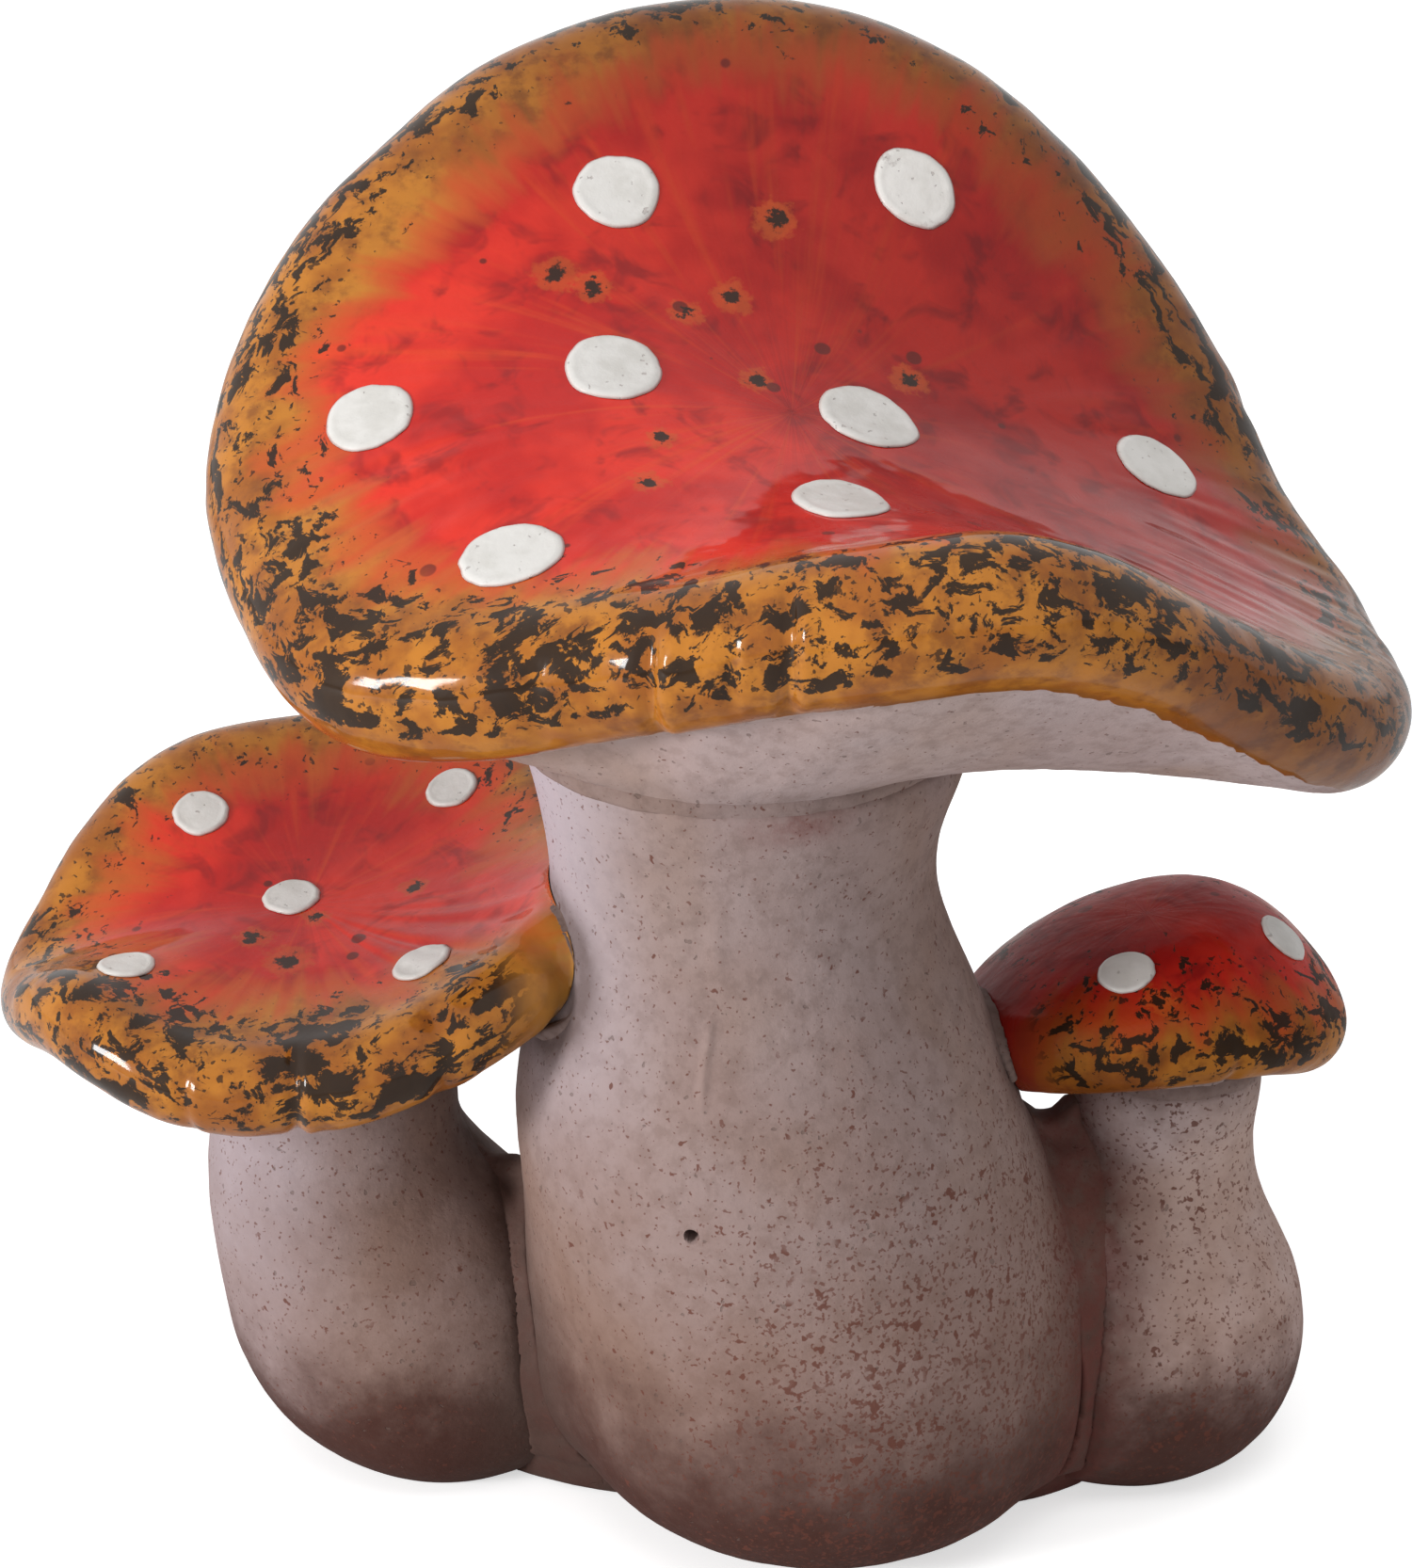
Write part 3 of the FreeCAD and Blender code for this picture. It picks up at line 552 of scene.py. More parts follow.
def spot_objects(name, cap, surface, spots, radius, seed):
    """Hand-brushed enamel spots lying on a cap's own relief."""
    tree = tree_of(surface)
    centre = np.array(cap["neck"]) + np.array([cap["shift"], cap["back"], 0])
    wide, deep = cap["half"][0] - cap["rim_radius"], cap["half"][1] - cap["rim_radius"]
    rings, steps = 14, 56
    points, faces, local = [], [], []
    for number, (x_share, y_share, length, width, turn) in enumerate(spots):
        start = Vector((centre[0] + wide * x_share, centre[1] + deep * y_share, 400)) * MM
        hit, normal, _, _ = tree.ray_cast(start, Vector((0, 0, -1)))
        first = Vector((1, 0, 0)) - normal * normal.x
        first.normalize()
        second = normal.cross(first)
        swing = math.radians(turn)
        long_way = first * math.cos(swing) + second * math.sin(swing)
        short_way = second * math.cos(swing) - first * math.sin(swing)
        base = len(points)
        shape = np.array([[math.cos(2 * math.pi * s / steps), math.sin(2 * math.pi * s / steps), number * 7.0]
                          for s in range(steps)])
        uneven = 1 + 0.07 * value_noise(shape, 0.9, seed) + 0.025 * value_noise(shape, 0.25, seed + 3)

        def lay(share, angle_index, height):
            angle = 2 * math.pi * angle_index / steps
            r = radius * share * uneven[angle_index]
            flat = hit + (long_way * (length * r * math.cos(angle)) + short_way * (width * r * math.sin(angle))) * MM
            place, up, _, _ = tree.find_nearest(flat, 0.02)
            return place + up * (height * MM)

        top = []
        for ring in range(rings):
            share = ((ring + 1) / rings) ** 0.8
            height = 0.34 * (1 - share**6) ** 0.5 + 0.1 * math.exp(-(((share - 0.86) / 0.09) ** 2))
            for s in range(steps):
                points.append(lay(share, s, 0.06 + height))
                local.append(share)
        points.append(hit + normal * (0.4 * MM))
        local.append(0.0)
        under = len(points)
        for s in range(steps):
            points.append(lay(0.97, s, 0.03))
            local.append(1.0)
        points.append(hit + normal * (0.03 * MM))
        local.append(0.0)
        for s in range(steps):
            n = (s + 1) % steps
            faces.append((base + rings * steps, base + s, base + n))
            for ring in range(rings - 1):
                faces.append((base + ring * steps + s, base + (ring + 1) * steps + s,
                              base + (ring + 1) * steps + n, base + ring * steps + n))
            rim = base + (rings - 1) * steps
            faces.append((rim + s, under + s, under + n, rim + n))
            faces.append((under + s, under + steps, under + n))
    made = make_object(name, points, faces)
    set_attribute(made, "edge", local)
    return made


# Materials

class Shader:
    """A material's nodes, joined with short calls. Sizes are in millimetres."""

    def __init__(self, name, **sockets):
        self.material = bpy.data.materials.new(name)
        self.material.use_nodes = True
        self.tree = self.material.node_tree
        self.shader = self.tree.nodes["Principled BSDF"]
        for socket, value in sockets.items():
            self.shader.inputs[socket.replace("_", " ")].default_value = value
        self.place = self.add("ShaderNodeTexCoord").outputs["Object"]

    def add(self, kind, **settings):
        node = self.tree.nodes.new(kind)
        for key, value in settings.items():
            setattr(node, key, value)
        return node

    def feed(self, socket, value):
        if isinstance(value, bpy.types.NodeSocket):
            self.tree.links.new(value, socket)
        elif isinstance(value, tuple) and len(value) == 3 and socket.type == "RGBA":
            socket.default_value = (*value, 1)
        else:
            socket.default_value = value

    def out(self, socket, value):
        self.feed(self.shader.inputs[socket], value)

    def value_of(self, name):
        return self.add("ShaderNodeAttribute", attribute_name=name).outputs["Fac"]

    def vector_of(self, name):
        return self.add("ShaderNodeAttribute", attribute_name=name).outputs["Vector"]

    def math(self, operation, a, b=0.0):
        node = self.add("ShaderNodeMath", operation=operation)
        self.feed(node.inputs[0], a)
        self.feed(node.inputs[1], b)
        return node.outputs[0]

    def times(self, a, b):
        return self.math("MULTIPLY", a, b)

    def plus(self, a, b):
        return self.math("ADD", a, b)

    def minus(self, a, b):
        return self.math("SUBTRACT", a, b)

    def most(self, a, b):
        return self.math("MAXIMUM", a, b)

    def noise(self, size, detail=2.0, rough=0.5, bend=0.0, vector=None, unit=MM, shift=0.0):
        node = self.add("ShaderNodeTexNoise")
        place = vector if vector is not None else self.place
        if shift:
            moved = self.add("ShaderNodeVectorMath", operation="ADD")
            self.feed(moved.inputs[0], place)
            moved.inputs[1].default_value = (shift * unit, shift * unit * 0.7, -shift * unit)
            place = moved.outputs[0]
        self.feed(node.inputs["Vector"], place)
        node.inputs["Scale"].default_value = 1 / (size * unit)
        node.inputs["Detail"].default_value = detail
        node.inputs["Roughness"].default_value = rough
        node.inputs["Distortion"].default_value = bend
        return node.outputs[0]

    def cells(self, size):
        node = self.add("ShaderNodeTexVoronoi")
        self.feed(node.inputs["Vector"], self.place)
        node.inputs["Scale"].default_value = 1 / (size * MM)
        return node

    def step(self, value, low, high, to_low=0.0, to_high=1.0):
        """A smooth change from one number to another as the value goes from low to high."""
        node = self.add("ShaderNodeMapRange", interpolation_type="SMOOTHSTEP")
        self.feed(node.inputs["Value"], value)
        for socket, number in zip(("From Min", "From Max", "To Min", "To Max"), (low, high, to_low, to_high)):
            self.feed(node.inputs[socket], number)
        return node.outputs[0]

    def mix(self, share, a, b, blend="MIX"):
        node = self.add("ShaderNodeMix", data_type="RGBA", blend_type=blend)
        self.feed(node.inputs[0], share)
        self.feed(node.inputs[6], a)
        self.feed(node.inputs[7], b)
        return node.outputs[2]

    def blot(self, place, radius, rough):
        """A soft-edged blot round a fixed place of the object."""
        away = self.add("ShaderNodeVectorMath", operation="DISTANCE")
        self.feed(away.inputs[0], self.place)
        away.inputs[1].default_value = tuple(v * MM for v in place)
        uneven = self.math("ADD", self.math("MULTIPLY", away.outputs["Value"], 1 / MM), rough)
        return self.step(uneven, radius * 1.1, radius * 0.7)

    def bump(self, height, depth):
        """Fine relief of the shading, with its depth in millimetres."""
        node = self.add("ShaderNodeBump")
        node.inputs["Strength"].default_value = 1.0
        node.inputs["Distance"].default_value = depth * MM
        self.feed(node.inputs["Height"], height)
        self.tree.links.new(node.outputs[0], self.shader.inputs["Normal"])


def clay_material(name, foot_height, light_tone=1.0, left_light_line=-200.0, left_light_low=0.4):
    """Matte bisque: grey-pink clay, the foot washed brown and deepened there as painted shade, painted light down
    the left side, red-brown specks, and painted shade in the grooves and under the caps.
    """
    m = Shader(name, Roughness=0.82)
    m.shader.inputs["Specular IOR Level"].default_value = 0.2

    # This copy of the clay is set lighter or darker as a whole, as painted light and shade
    def toned(r, g, b):
        return r * light_tone, g * light_tone**1.15, b * light_tone**1.25

    height = m.add("ShaderNodeSeparateXYZ")
    m.feed(height.inputs[0], m.place)
    level = m.times(height.outputs["Z"], 1 / MM)
    leftward = m.times(height.outputs["X"], 1 / MM)
    broad = m.noise(22, 3, 0.6)
    fine = m.noise(2.2, 4, 0.65)
    warm = m.step(m.noise(30, 2, 0.5, shift=90), 0.42, 0.6)
    body = m.mix(warm, toned(0.42, 0.315, 0.3), toned(0.385, 0.27, 0.23))
    body = m.mix(m.step(broad, 0.35, 0.65, 0.0, 0.45), body, toned(0.52, 0.43, 0.435))
    body = m.mix(m.step(fine, 0.42, 0.68, 0.0, 0.4), body, toned(0.25, 0.175, 0.155))
    # Painted light: a pale lilac down the left side, stronger higher up, where the lamp falls
    left_light = m.times(m.step(leftward, left_light_line + 9, left_light_line - 7), m.step(level, 42, 78, left_light_low, 0.9))
    body = m.mix(left_light, body, (0.5, 0.44, 0.49))
    # The foot is washed brown, and the brown deepens towards the floor as painted shade
    foot_level = m.plus(level, m.times(m.minus(m.noise(11, 5, 0.7), 0.5), 26))
    foot_wash_shade = m.step(foot_level, foot_height * 1.1, foot_height * 0.3, 0.0, 0.97)
    body = m.mix(m.step(foot_level, foot_height * 2.4, foot_height * 0.7, 0.0, 0.6), body, toned(0.29, 0.17, 0.13))
    body = m.mix(foot_wash_shade, body, (0.062, 0.022, 0.016))
    # Specks, thickest near the foot and on the front of the large stem
    dense = m.value_of("specks")
    limit = m.minus(0.74, m.times(dense, 0.16))
    coarse = m.step(m.minus(m.noise(1.15, 2, 0.5, 0.2), limit), 0.0, 0.05)
    coarse = m.times(coarse, m.step(m.noise(7, 3, 0.6, shift=40), 0.38, 0.52))
    dust = m.step(m.minus(m.noise(0.55, 1, 0.5, shift=21), limit), -0.01, 0.05)
    specks = m.most(coarse, m.times(dust, 0.8))
    body = m.mix(m.times(specks, 0.85), body, (0.13, 0.042, 0.028))
    pits = m.step(m.noise(0.9, 1, 0.5, shift=12), 0.72, 0.76)
    body = m.mix(m.times(pits, 0.5), body, (0.13, 0.085, 0.07))
    # Painted shade in the grooves, under the caps and inside the vent
    painted_shade = m.value_of("painted_shade")
    patchy_shade = m.times(painted_shade, m.step(m.noise(5, 4, 0.65, shift=7), 0.25, 0.62, 0.55, 1.0))
    body = m.mix(m.times(patchy_shade, 0.92), body, (0.085, 0.051, 0.041))
    red = m.times(m.value_of("stain"), m.step(m.noise(3, 4, 0.65, shift=17), 0.35, 0.6, 0.3, 1.0))
    body = m.mix(red, body, (0.15, 0.032, 0.026))
    m.out("Base Color", body)
    m.out("Roughness", m.step(fine, 0.3, 0.7, 0.74, 0.92))
    bumps = m.plus(m.times(m.noise(0.7, 3, 0.6), 0.5), m.noise(3.0, 3, 0.6))
    bumps = m.minus(bumps, m.times(pits, 0.5))
    m.bump(bumps, 0.14)
    return m.material


def glaze_material(name, red_line, blots, near_colour, dark_side, light_tone=1.0, coat=0.7):
    """Glossy glaze: brushed red over an amber rim band with dark crackle specks.

    The red starts at red_line, in millimetres inward from the outermost line of the cap. Where the cap
    touches the large stem the glaze takes near_colour, and dark_side is how far the shaded side darkens.
    """
    m = Shader(name, Roughness=0.3)
    m.shader.inputs["Coat Weight"].default_value = coat
    m.shader.inputs["Coat IOR"].default_value = 1.36
    m.shader.inputs["Coat Roughness"].default_value = 0.08
    m.shader.inputs["Specular IOR Level"].default_value = 0.04

    # This copy of the glaze is scaled as a whole, as painted shade
    def toned(r, g, b):
        return r * light_tone, g * light_tone, b * light_tone

    rim = m.value_of("rim")
    flow = m.vector_of("flow")
    streak = m.noise(4.5, 3, 0.55, vector=flow, unit=1.0)
    broad = m.noise(17, 3, 0.6)
    patch = m.noise(6, 3, 0.6, 0.6)
    # Where the brushed red gives way to the amber band
    wander = m.times(m.minus(streak, 0.5), 15)
    wander = m.plus(wander, m.times(m.minus(broad, 0.5), 16))
    near = m.value_of("near")
    inward = m.plus(m.plus(rim, wander), m.times(near, 9))
    sparse = m.value_of("sparse")
    inward = m.plus(inward, m.times(sparse, 1.5))
    inward = m.minus(inward, m.times(m.value_of("spread"), 5.0))
    crimson = m.mix(m.step(broad, 0.4, 0.6), toned(0.52, 0.013, 0.009), toned(0.72, 0.03, 0.015))
    crimson = m.mix(m.step(patch, 0.48, 0.7, 0.0, 0.75), crimson, toned(0.27, 0.008, 0.009))
    crimson = m.mix(m.step(streak, 0.52, 0.75, 0.0, 0.5), crimson, toned(0.72, 0.075, 0.013))
    pale = m.step(m.noise(9, 3, 0.6, shift=30), 0.4, 0.6)
    amber = m.mix(pale, toned(0.49, 0.18, 0.021), toned(0.34, 0.105, 0.014))
    burnt = m.step(m.noise(3.5, 4, 0.65, shift=55), 0.45, 0.7, 0.0, 0.75)
    amber = m.mix(burnt, amber, toned(0.2, 0.06, 0.013))
    blaze = toned(0.54, 0.085, 0.016)
    colour = m.mix(m.step(inward, red_line - 5, red_line + 1.5), amber, blaze)
    colour = m.mix(m.step(inward, red_line, red_line + 7), colour, crimson)
    dark = m.value_of("shade")
    colour = m.mix(m.times(dark, dark_side), colour, m.mix(1.0, colour, (0.36, 0.3, 0.36), "MULTIPLY"))
    # Near the large stem: amber glaze that pools there on the left cap, a painted shade of dark maroon on the right
    # cap
    pooled_and_shaded = m.times(near, m.step(rim, 14, 7))
    colour = m.mix(m.times(pooled_and_shaded, m.step(patch, 0.3, 0.6, 0.5, 1.0)), colour, near_colour)
    # Dark crackle specks, thickest on the crest of the rolled rim
    band = m.times(m.step(rim, -6.5, -2), m.step(rim, 25, 9))
    drawn_out = m.add("ShaderNodeVectorMath", operation="MULTIPLY")
    m.feed(drawn_out.inputs[0], flow)
    drawn_out.inputs[1].default_value = (0.7, 0.7, 8.3)
    crackle = m.noise(2.4, 6, 0.64, 0.5, vector=drawn_out.outputs[0], unit=1.0)
    clump = m.noise(11, 2, 0.5, shift=70)
    limit = m.minus(0.735, m.times(band, 0.215))
    limit = m.plus(limit, m.times(sparse, 0.06))
    limit = m.minus(limit, m.times(m.minus(clump, 0.5), 0.24))
    limit = m.plus(limit, m.times(m.minus(1.0, m.step(rim, -7, -3)), 0.5))
    specks = m.step(m.minus(crackle, limit), -0.004, 0.022)
    specks = m.times(specks, m.step(rim, 27, 19))
    fine_limit = m.minus(0.74, m.times(band, 0.115))
    fine = m.step(m.minus(m.noise(1.1, 2, 0.6, 0.4), fine_limit), 0.0, 0.03)
    fine = m.times(fine, m.times(m.step(rim, 26, 15), m.step(rim, -5.5, -2)))
    ink = m.most(specks, m.times(fine, 0.85))
    ink = m.times(ink, m.step(near, 0.55, 0.1))
    # Lone blots in the red
    ragged = m.times(m.minus(m.noise(1.5, 4, 0.7), 0.5), 4.5)
    for place, radius in blots:
        halo = m.times(m.blot(place, radius * 2.1, ragged), 0.45)
        colour = m.mix(halo, colour, toned(0.5, 0.1, 0.016))
        ink = m.most(ink, m.blot(place, radius, ragged))
    cells = m.cells(5.0)
    dot_size = m.add("ShaderNodeSeparateColor")
    m.feed(dot_size.inputs[0], cells.outputs["Color"])
    dot = m.minus(m.times(m.minus(dot_size.outputs[0], 0.55), 0.42),
                 cells.outputs["Distance"])
    dots = m.times(m.step(dot, -0.03, 0.02), m.step(rim, 12, 20))
    colour = m.mix(m.times(dots, 0.85), colour, toned(0.1, 0.011, 0.008))
    colour = m.mix(m.times(ink, 0.96), colour, (0.016, 0.01, 0.006))
    # The glaze pools brown along its lower edge
    ragged_rim = m.plus(rim, m.times(m.minus(patch, 0.5), 2.4))
    pool = m.times(m.step(ragged_rim, 1.6 - GLAZE_EDGE, -GLAZE_EDGE), 0.8)
    colour = m.mix(pool, colour, (0.24, 0.085, 0.018))
    m.out("Base Color", colour)
    m.out("Roughness", m.plus(m.step(patch, 0.3, 0.7, 0.24, 0.38), m.times(ink, 0.12)))
    height = m.plus(m.times(m.noise(4.0, 2, 0.5, vector=flow, unit=1.0), 0.7), m.noise(2.0, 2, 0.5))
    height = m.minus(height, m.times(ink, 0.18))
    m.bump(height, 0.12)
    return m.material


def enamel_material():
    """Off-white brushed enamel with a few grey pits."""
    m = Shader("white_enamel", Roughness=0.5)
    m.shader.inputs["Coat Weight"].default_value = 0.25
    m.shader.inputs["Coat Roughness"].default_value = 0.25
    tint = m.mix(m.step(m.noise(5, 3, 0.6), 0.4, 0.65), (0.69, 0.67, 0.64), (0.61, 0.59, 0.555))
    thin = m.step(m.noise(2.3, 4, 0.7, shift=5), 0.6, 0.72)
    thin = m.times(thin, m.step(m.noise(8, 1, 0.5, shift=25), 0.52, 0.62))
    tint = m.mix(m.times(thin, 0.6), tint, (0.36, 0.33, 0.31))
    pits = m.step(m.noise(0.9, 2, 0.5, shift=33), 0.69, 0.73)
    tint = m.mix(m.times(pits, 0.5), tint, (0.3, 0.25, 0.23))
    tint = m.mix(m.step(m.value_of("edge"), 0.93, 1.0, 0.0, 0.3), tint, (0.55, 0.42, 0.38))
    m.out("Base Color", tint)
    m.out("Roughness", m.step(m.noise(3, 3, 0.6), 0.3, 0.7, 0.4, 0.6))
    m.bump(m.minus(m.noise(1.4, 3, 0.6), m.times(pits, 0.8)), 0.09)
    return m.material


# Build the pieces

# Spots: place across and along the cap, in shares of its half width and depth, then length, width and turn
LARGE_SPOTS = [(-0.33, 0.64, 0.92, 1.02, 0), (0.24, 0.75, 1.02, 0.86, -55), (-0.33, 0.06, 1.04, 1.12, 0),
               (-0.77, -0.06, 0.96, 0.98, 0), (-0.5, -0.63, 1.06, 0.92, 12), (0.14, 0.06, 1.1, 1.02, -10),
               (0.08, -0.45, 0.98, 1.14, 0), (0.7, 0.34, 1.0, 0.92, -20)]
LEFT_SPOTS = [(-0.46, 0.53, 0.9, 0.9, 0), (-0.06, 0.05, 0.9, 0.85, 0), (-0.66, -0.44, 0.92, 0.85, 10),
              (0.49, -0.58, 0.95, 0.85, 30), (0.55, 0.58, 0.85, 0.85, 0)]
RIGHT_SPOTS = [(-0.15, -0.61, 0.95, 0.9, 0), (0.75, -0.07, 0.95, 0.95, 40)]
# Creases: bearing, depth, width in degrees, and where along the rim each starts and ends
# Flutes: bearing, width in degrees and depth
LARGE["creases"] = [(252.0, 0.9, 1.1, -7, 6), (268.5, 0.9, 1.0, -7, 8), (262.0, 0.4, 0.8, -4, 4),
                    (238.0, 0.3, 1.2, -5, 4), (300.0, 0.25, 1.2, -4, 6), (132.0, 0.5, 1.4, -5, 6),
                    (30.0, 0.4, 1.3, -5, 6)]
LARGE["flutes"] = [(5.0, 34.0, 0.55), (200.0, 30.0, 0.15)]
LEFT["creases"] = [(272.0, 0.7, 1.3, -6, 6), (250.0, 0.35, 1.4, -4, 4), (300.0, 0.5, 2.0, -5, 7),
                   (322.0, 0.5, 2.4, -4, 9)]
LEFT["flutes"] = [(320.0, 30.0, 0.3)]
RIGHT["creases"] = [(300.0, 0.3, 2.5, -5, 3)]
RIGHT["flutes"] = []

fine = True
stems = {}
for seed, (side, columns, rows) in enumerate((("large", 400, 190), ("left", 260, 110), ("right", 240, 110))):
    grid = stem_grid(side, columns if fine else columns // 2, rows if fine else rows // 2)
    stems[side] = stem_object(side, grid, 100 + 20 * seed)
large_tree = tree_of(stems["large"])
webs = {"left": web_object("left", 61), "right": web_object("right", 67)}
bare_trees = {side: tree_of(stems[side]) for side in ("left", "right")}
for side, web in webs.items():
    outer = np.flatnonzero((np.abs(normals_of(web)[:, 1]) > 0.35) & (points_of(web)[:, 2] > 0.4 * MM))
    draw_to_valley(web, outer, large_tree, bare_trees[side], 0.2)
    # The top sags between the stems
    start = points_of(web)
    between = np.minimum(distances(start, large_tree, 4.0), distances(start, bare_trees[side], 4.0))
    top = start[:, 2].max() / MM
    start[:, 2] -= np.clip(0.9 * between, 0, 2.4) * smooth_step(top - 7, top - 1, start[:, 2] / MM) * MM
    move_points(web, start)
for side in ("left", "right"):
    for stem, other in ((stems["large"], bare_trees[side]), (stems[side], large_tree)):
        start = points_of(stem)
        close = distances(start, other, VALLEY_REACH) < VALLEY_REACH - 0.2
        close &= (start[:, 2] > 0.4 * MM) & (start[:, 2] < 60 * MM)
        draw_to_valley(stem, np.flatnonzero(close), large_tree, bare_trees[side], 0.0)
caps = {
    "large": cap_object("large_cap_glazed", LARGE, 620 if fine else 300, 0.62 if fine else 1.2, 11),
    "left": cap_object("left_cap_glazed", LEFT, 380 if fine else 200, 0.55 if fine else 1.0, 23),
    "right": cap_object("right_cap_glazed", RIGHT, 320 if fine else 160, 0.5 if fine else 0.9, 37),
}
for side in ("left", "right"):
    press_out(caps[side], large_tree, 0.15)
luting = {side: ring_object(side, cap, 71) for side, cap in (("large", LARGE), ("left", LEFT), ("right", RIGHT))}
spots = {
    "large": spot_objects("large_cap_spots_enamel", LARGE, caps["large"], LARGE_SPOTS, 5.0, 81),
    "left": spot_objects("left_cap_spots_enamel", LEFT, caps["left"], LEFT_SPOTS, 3.6, 83),
    "right": spot_objects("right_cap_spots_enamel", RIGHT, caps["right"], RIGHT_SPOTS, 3.3, 87),
}
smears = {}
for side in ("left", "right"):
    smears[side] = remeshed(f"{side}_contact_slip", NODES[f"{side}_cap_slip_smear"], 0.28 * MM, 3)
    pts = points_of(smears[side])
    swell = 0.12 + 0.2 * layered_noise(pts / MM, 3.0, 91, 3)
    pts = pts + normals_of(smears[side]) * (swell * MM)[:, None]
    off_cap = distances(pts, tree_of(caps[side]), 3.0)
    for i, p in enumerate(pts):
        place, normal, _, _ = large_tree.find_nearest(Vector(p), FAR_REACH)
        apart = (Vector(p) - place).dot(normal)
        thin = 0.75 * (1 - smooth_step(0.0, 1.0, off_cap[i])) ** 1.5
        pts[i] = place + normal * (apart * thin - 0.1 * MM)
    move_points(smears[side], pts)

# Facts the materials read from each point: closeness to neighbours for painted shade, specks and shade

def closeness(obj, others, reach):
    """One where a piece touches one of the others, fading to none at the reach in millimetres."""
    near = np.zeros(len(obj.data.vertices))
    for other in others:
        near = np.maximum(near, 1 - distances(points_of(obj), tree_of(other), reach) / reach)
    return near


def clay_facts(obj, painted_shade, specks, stain=0.0):
    count = len(obj.data.vertices)
    for name, values in (("painted_shade", painted_shade), ("specks", specks), ("stain", stain)):
        set_attribute(obj, name, np.clip(np.zeros(count) + values, 0, 1))


p = points_of(stems["large"]) / MM
# Painted shade in the grooves beside the webs, under the caps and inside the vent pinhole
grooves = np.maximum(0.95 * closeness(stems["large"], [webs["left"]], 13.0) ** 1.6,
                     0.75 * closeness(stems["large"], [webs["right"]], 8.0) ** 1.6)
under_caps = closeness(stems["large"], [caps["left"], caps["right"], smears["left"], smears["right"]], 4.0) ** 1.5
red_side = 0.5 * closeness(stems["large"], [webs["right"]], 6.0)
collar = np.exp(-np.sum(((p - (-3.0, -22.0, 92.5)) / (5.0, 8.0, 2.2)) ** 2, axis=1))
front = smooth_step(10, -10, p[:, 1])
specks = 0.35 + 0.65 * front * smooth_step(-25, 5, p[:, 0]) * smooth_step(75, 30, p[:, 2])
vent = (np.hypot(p[:, 0] - VENT_X, p[:, 2] - VENT_Z) < 0.75) & (p[:, 1] < 0)
grooves = np.where(vent, 1.0, grooves)
clay_facts(stems["large"], np.maximum(grooves, 0.8 * under_caps), specks, np.maximum(0.6 * collar, red_side))
# Painted shade on the small stems where they touch the large stem and under their caps
for side, reach, maroon, specks in (("left", 12.0, 0.0, 0.45), ("right", 8.5, 0.55, 0.7)):
    touching = 0.95 * closeness(stems[side], [webs[side], stems["large"]], reach) ** 1.7
    below = closeness(stems[side], [caps[side]], 8.0)
    clay_facts(stems[side], np.maximum(touching, 0.5 * below), specks, maroon * touching)
# The webs carry painted shade all over, deepest towards the foot
for side, maroon in (("left", 0.1), ("right", 0.5)):
    low = smooth_step(34, 12, points_of(webs[side])[:, 2] / MM)
    clay_facts(webs[side], 0.8 + 0.2 * low, 0.5, maroon)
# Painted shade on the neck beads and on the cap undersides near them
for side in ("large", "left", "right"):
    clay_facts(luting[side], 0.2 if side == "large" else 0.5, 0.25)
    below = closeness(caps[side], [luting[side]], 5.0)
    clay_facts(caps[side], 0.35 * below, 0.15)
# Painted shade on the contact slip under each cap's edge
for side in ("left", "right"):
    clay_facts(smears[side], 0.75 * closeness(smears[side], [caps[side]], 2.5), 0.2)
    near = closeness(caps[side], [stems["large"]], 11.0 if side == "left" else 8.0)
    set_attribute(caps[side], "near", near**1.3)
for side, start, span in (("large", -22.0, 55.0), ("right", 70.0, -45.0), ("left", -70.0, 60.0)):
    p = points_of(caps[side]) / MM
    across = p[:, 0] + (0.9 * p[:, 1] if side == "large" else 0)
    set_attribute(caps[side], "shade", smooth_step(0, 1, (across - start) / span))
    none = np.zeros(len(p))
    sparse = {"large": none, "left": smooth_step(0, 14, p[:, 1]), "right": smooth_step(60.0, 62.5, p[:, 2])}
    set_attribute(caps[side], "sparse", sparse[side])
    back_left = smooth_step(5, 40, p[:, 1]) * smooth_step(30, 0, p[:, 0])
    set_attribute(caps[side], "spread", back_left if side == "large" else none)


def assign(obj, slot, *materials):
    for material in materials:
        obj.data.materials.append(material)
    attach(obj, "root")


large_blots = [((-28.5, 24.5, 135.6), 1.3), ((-24.6, 23.3, 134.6), 1.1), ((-9.7, 24.9, 133.0), 1.2),
               ((-14.7, 21.7, 132.3), 1.0), ((-18.4, -6.9, 123.5), 0.9), ((-7.2, 13.2, 127.6), 1.0),
               ((9.2, 19.5, 125.5), 1.1), ((-17.2, 0.7, 125.7), 0.9), ((-5.0, 34.4, 138.7), 1.3)]
left_blots = [((-61.8, 4.1, 66.7), 1.0), ((-57.7, -0.3, 66.1), 1.4), ((-44.6, 10.5, 69.8), 0.9),
              ((-55.3, 7.6, 67.6), 0.8)]
right_blots = [((36.1, -4.0, 63.1), 0.9)]
# The right cap's colour near the large stem is a painted shade of dark maroon
glazes = {
    "large": glaze_material("red_glaze_large", 15.0, large_blots, (0.2, 0.1, 0.03), 0.75),
    # The two small caps are set darker as a whole, as painted shade
    "left": glaze_material("red_glaze_left", 15.0, left_blots, (0.36, 0.17, 0.03), 0.0, 0.92),
    "right": glaze_material("red_glaze_right", 5.0, right_blots, (0.25, 0.02, 0.016), 0.6, 0.9, 0.1),
}
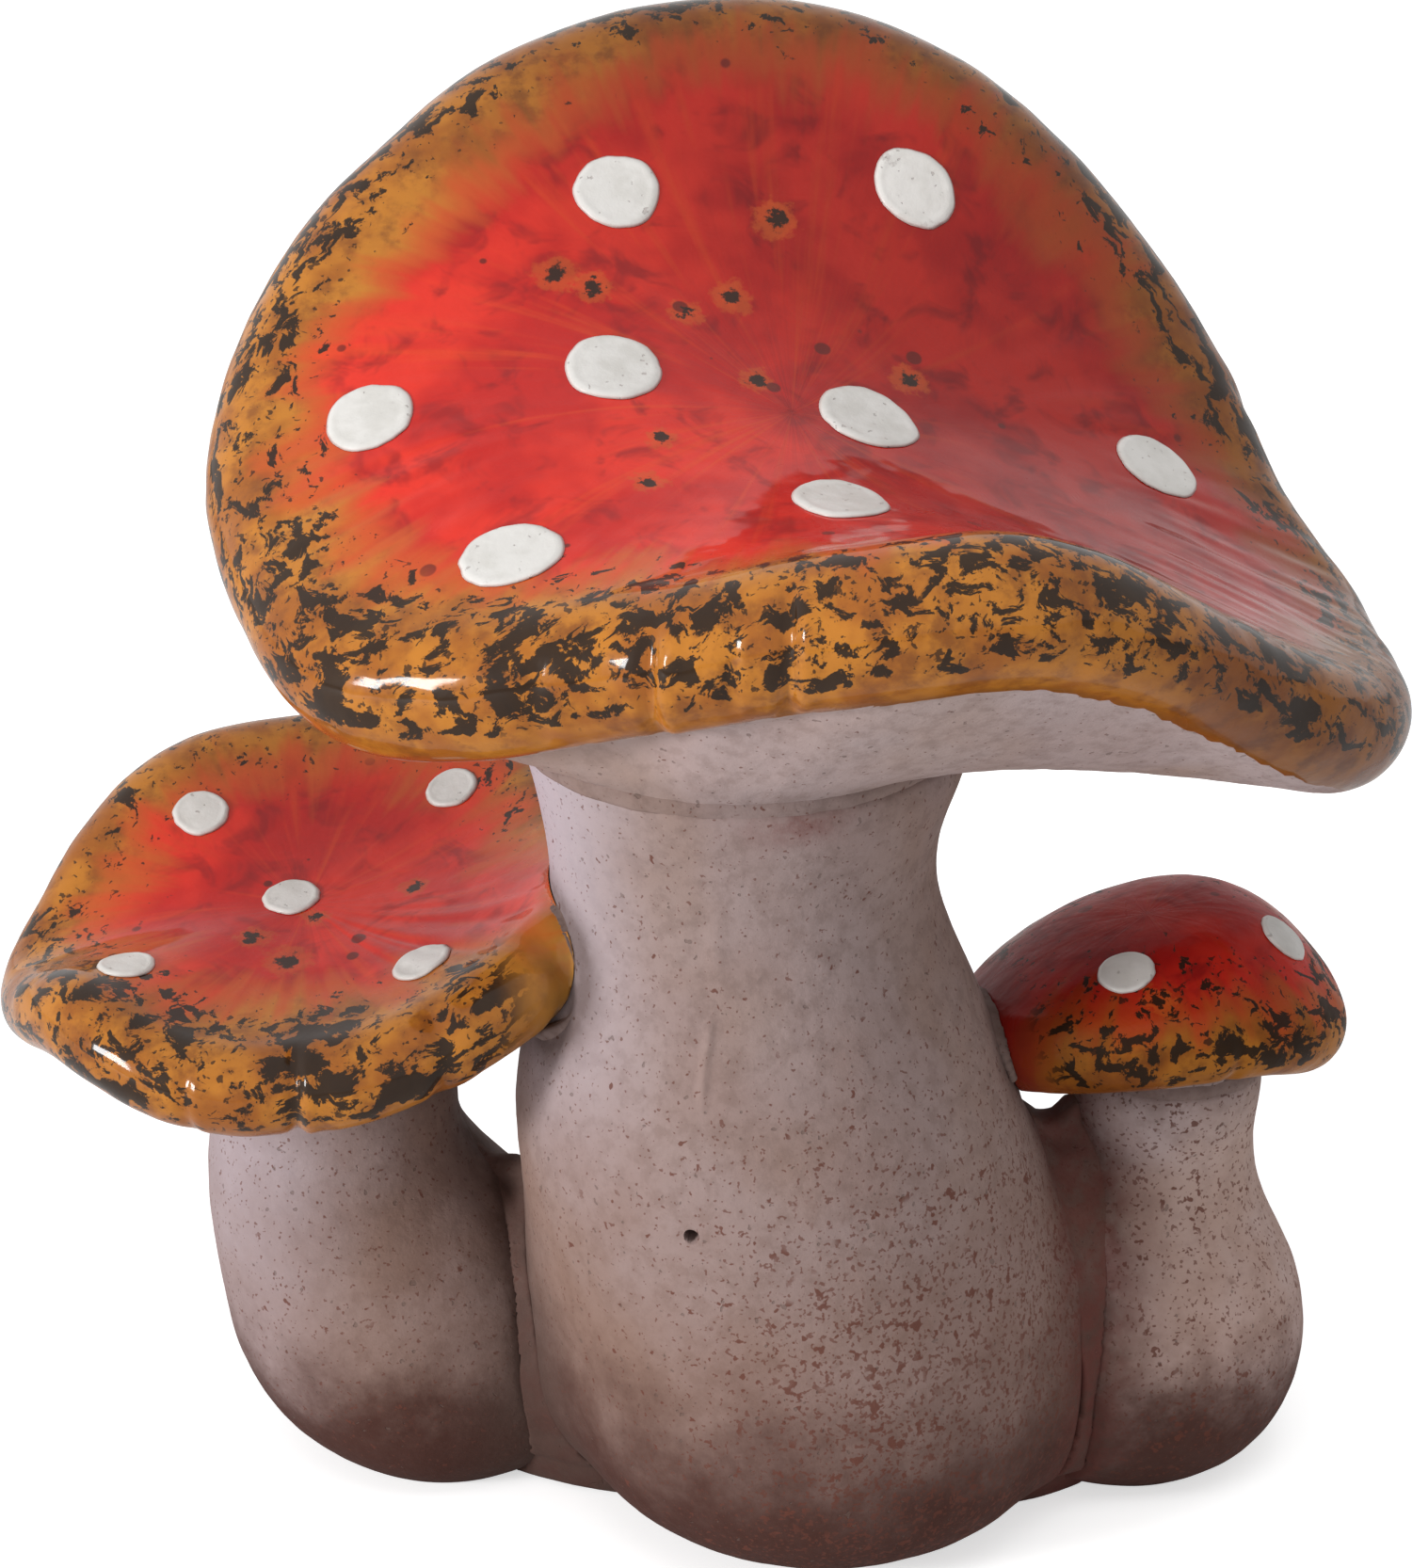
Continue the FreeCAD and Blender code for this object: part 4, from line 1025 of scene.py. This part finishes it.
# Copies of one clay set lighter or darker per piece, as painted light and shade
clays = {
    "large": clay_material("bisque_large", 31.0, 0.76, -25.0, 0.0),
    "left": clay_material("bisque_left", 24.0, 0.74, -58.0, 0.65),
    "right": clay_material("bisque_right", 24.0, 1.32),
    "under": clay_material("bisque_under", 0.5, 1.0),
}
# The neck, contact and groove slip are darker copies of the clay, as painted shade
slip = clay_material("slip", 0.5, 0.72)
contact = clay_material("contact_slip", 0.5, 0.6)
groove = clay_material("groove_slip", 36.0, 0.62)
enamel = enamel_material()
for side, cap in caps.items():
    assign(cap, "red_glaze", glazes[side], clays["under"])
    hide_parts(f"{side}_cap")
    assign(stems[side], "bisque", clays[side])
    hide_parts(f"{side}_stem")
    assign(luting[side], "slip", slip)
    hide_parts(f"{side}_cap_luting_ring")
    assign(spots[side], "white_enamel", enamel)
    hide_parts(f"{side}_cap_spots")
for side in ("left", "right"):
    assign(webs[side], "slip", groove)
    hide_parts(f"{side}_stem_web")
    assign(smears[side], "slip", contact)
    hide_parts(f"{side}_cap_slip_smear")


# Camera, floor and plain studio light

# How bright the white surroundings are for the light that they cast, against one as they are seen
FILL_LEVEL = 0.46


def add_camera():
    data = bpy.data.cameras.new("camera")
    data.sensor_width = 36.0
    data.lens = 97.24
    camera = bpy.data.objects.new("camera", data)
    camera.location = (-0.0125, -0.4111, 0.2700)
    camera.rotation_euler = (math.radians(66.0), 0.0, 0.0)
    bpy.context.scene.collection.objects.link(camera)
    bpy.context.scene.camera = camera


def add_lamp(name, place, aim, size, power):
    data = bpy.data.lights.new(name, "AREA")
    data.size = size
    data.energy = power
    lamp = bpy.data.objects.new(name, data)
    lamp.location = place
    lamp.rotation_euler = (Vector(aim) - Vector(place)).to_track_quat("-Z", "Y").to_euler()
    lamp.visible_glossy = name == "key"
    bpy.context.scene.collection.objects.link(lamp)


def add_floor():
    """A pale floor that keeps the shadow, lifted to white for the camera."""
    floor = make_object("floor", [(-3, -3, 0), (3, -3, 0), (3, 3, 0), (-3, 3, 0)], [(0, 1, 2, 3)], False)
    m = Shader("floor", Roughness=0.9)
    m.out("Base Color", m.mix(m.noise(40, 2), (0.86, 0.86, 0.86), (0.88, 0.88, 0.88)))
    seen = m.add("ShaderNodeLightPath").outputs["Is Camera Ray"]
    m.out("Emission Color", (1.0, 1.0, 1.0))
    m.out("Emission Strength", m.times(seen, 0.6))
    floor.data.materials.append(m.material)


def add_world():
    """A white world, seen at full strength by the camera and in reflections, dimmer as a lamp."""
    world = bpy.data.worlds.new("world")
    bpy.context.scene.world = world
    world.use_nodes = True
    nodes, links = world.node_tree.nodes, world.node_tree.links
    rays = nodes.new("ShaderNodeLightPath")
    seen = rays.outputs["Is Camera Ray"]
    for kind in ("Is Glossy Ray", "Is Transmission Ray"):
        either = nodes.new("ShaderNodeMath")
        either.operation = "MAXIMUM"
        links.new(seen, either.inputs[0])
        links.new(rays.outputs[kind], either.inputs[1])
        seen = either.outputs[0]
    level = nodes.new("ShaderNodeMapRange")
    links.new(seen, level.inputs["Value"])
    level.inputs["To Min"].default_value = FILL_LEVEL
    level.inputs["To Max"].default_value = 1.0
    nodes["Background"].inputs[0].default_value = (1, 1, 1, 1)
    links.new(level.outputs[0], nodes["Background"].inputs[1])


add_camera()
add_floor()
add_world()
add_lamp("key", (-0.78, -0.45, 0.3), (-0.01, 0.0, 0.08), 0.19, 5.5)
add_lamp("top", (0.0, -0.2, 0.85), (0.0, 0.0, 0.1), 0.6, 2.45)
bpy.context.scene.view_settings.view_transform = "Standard"
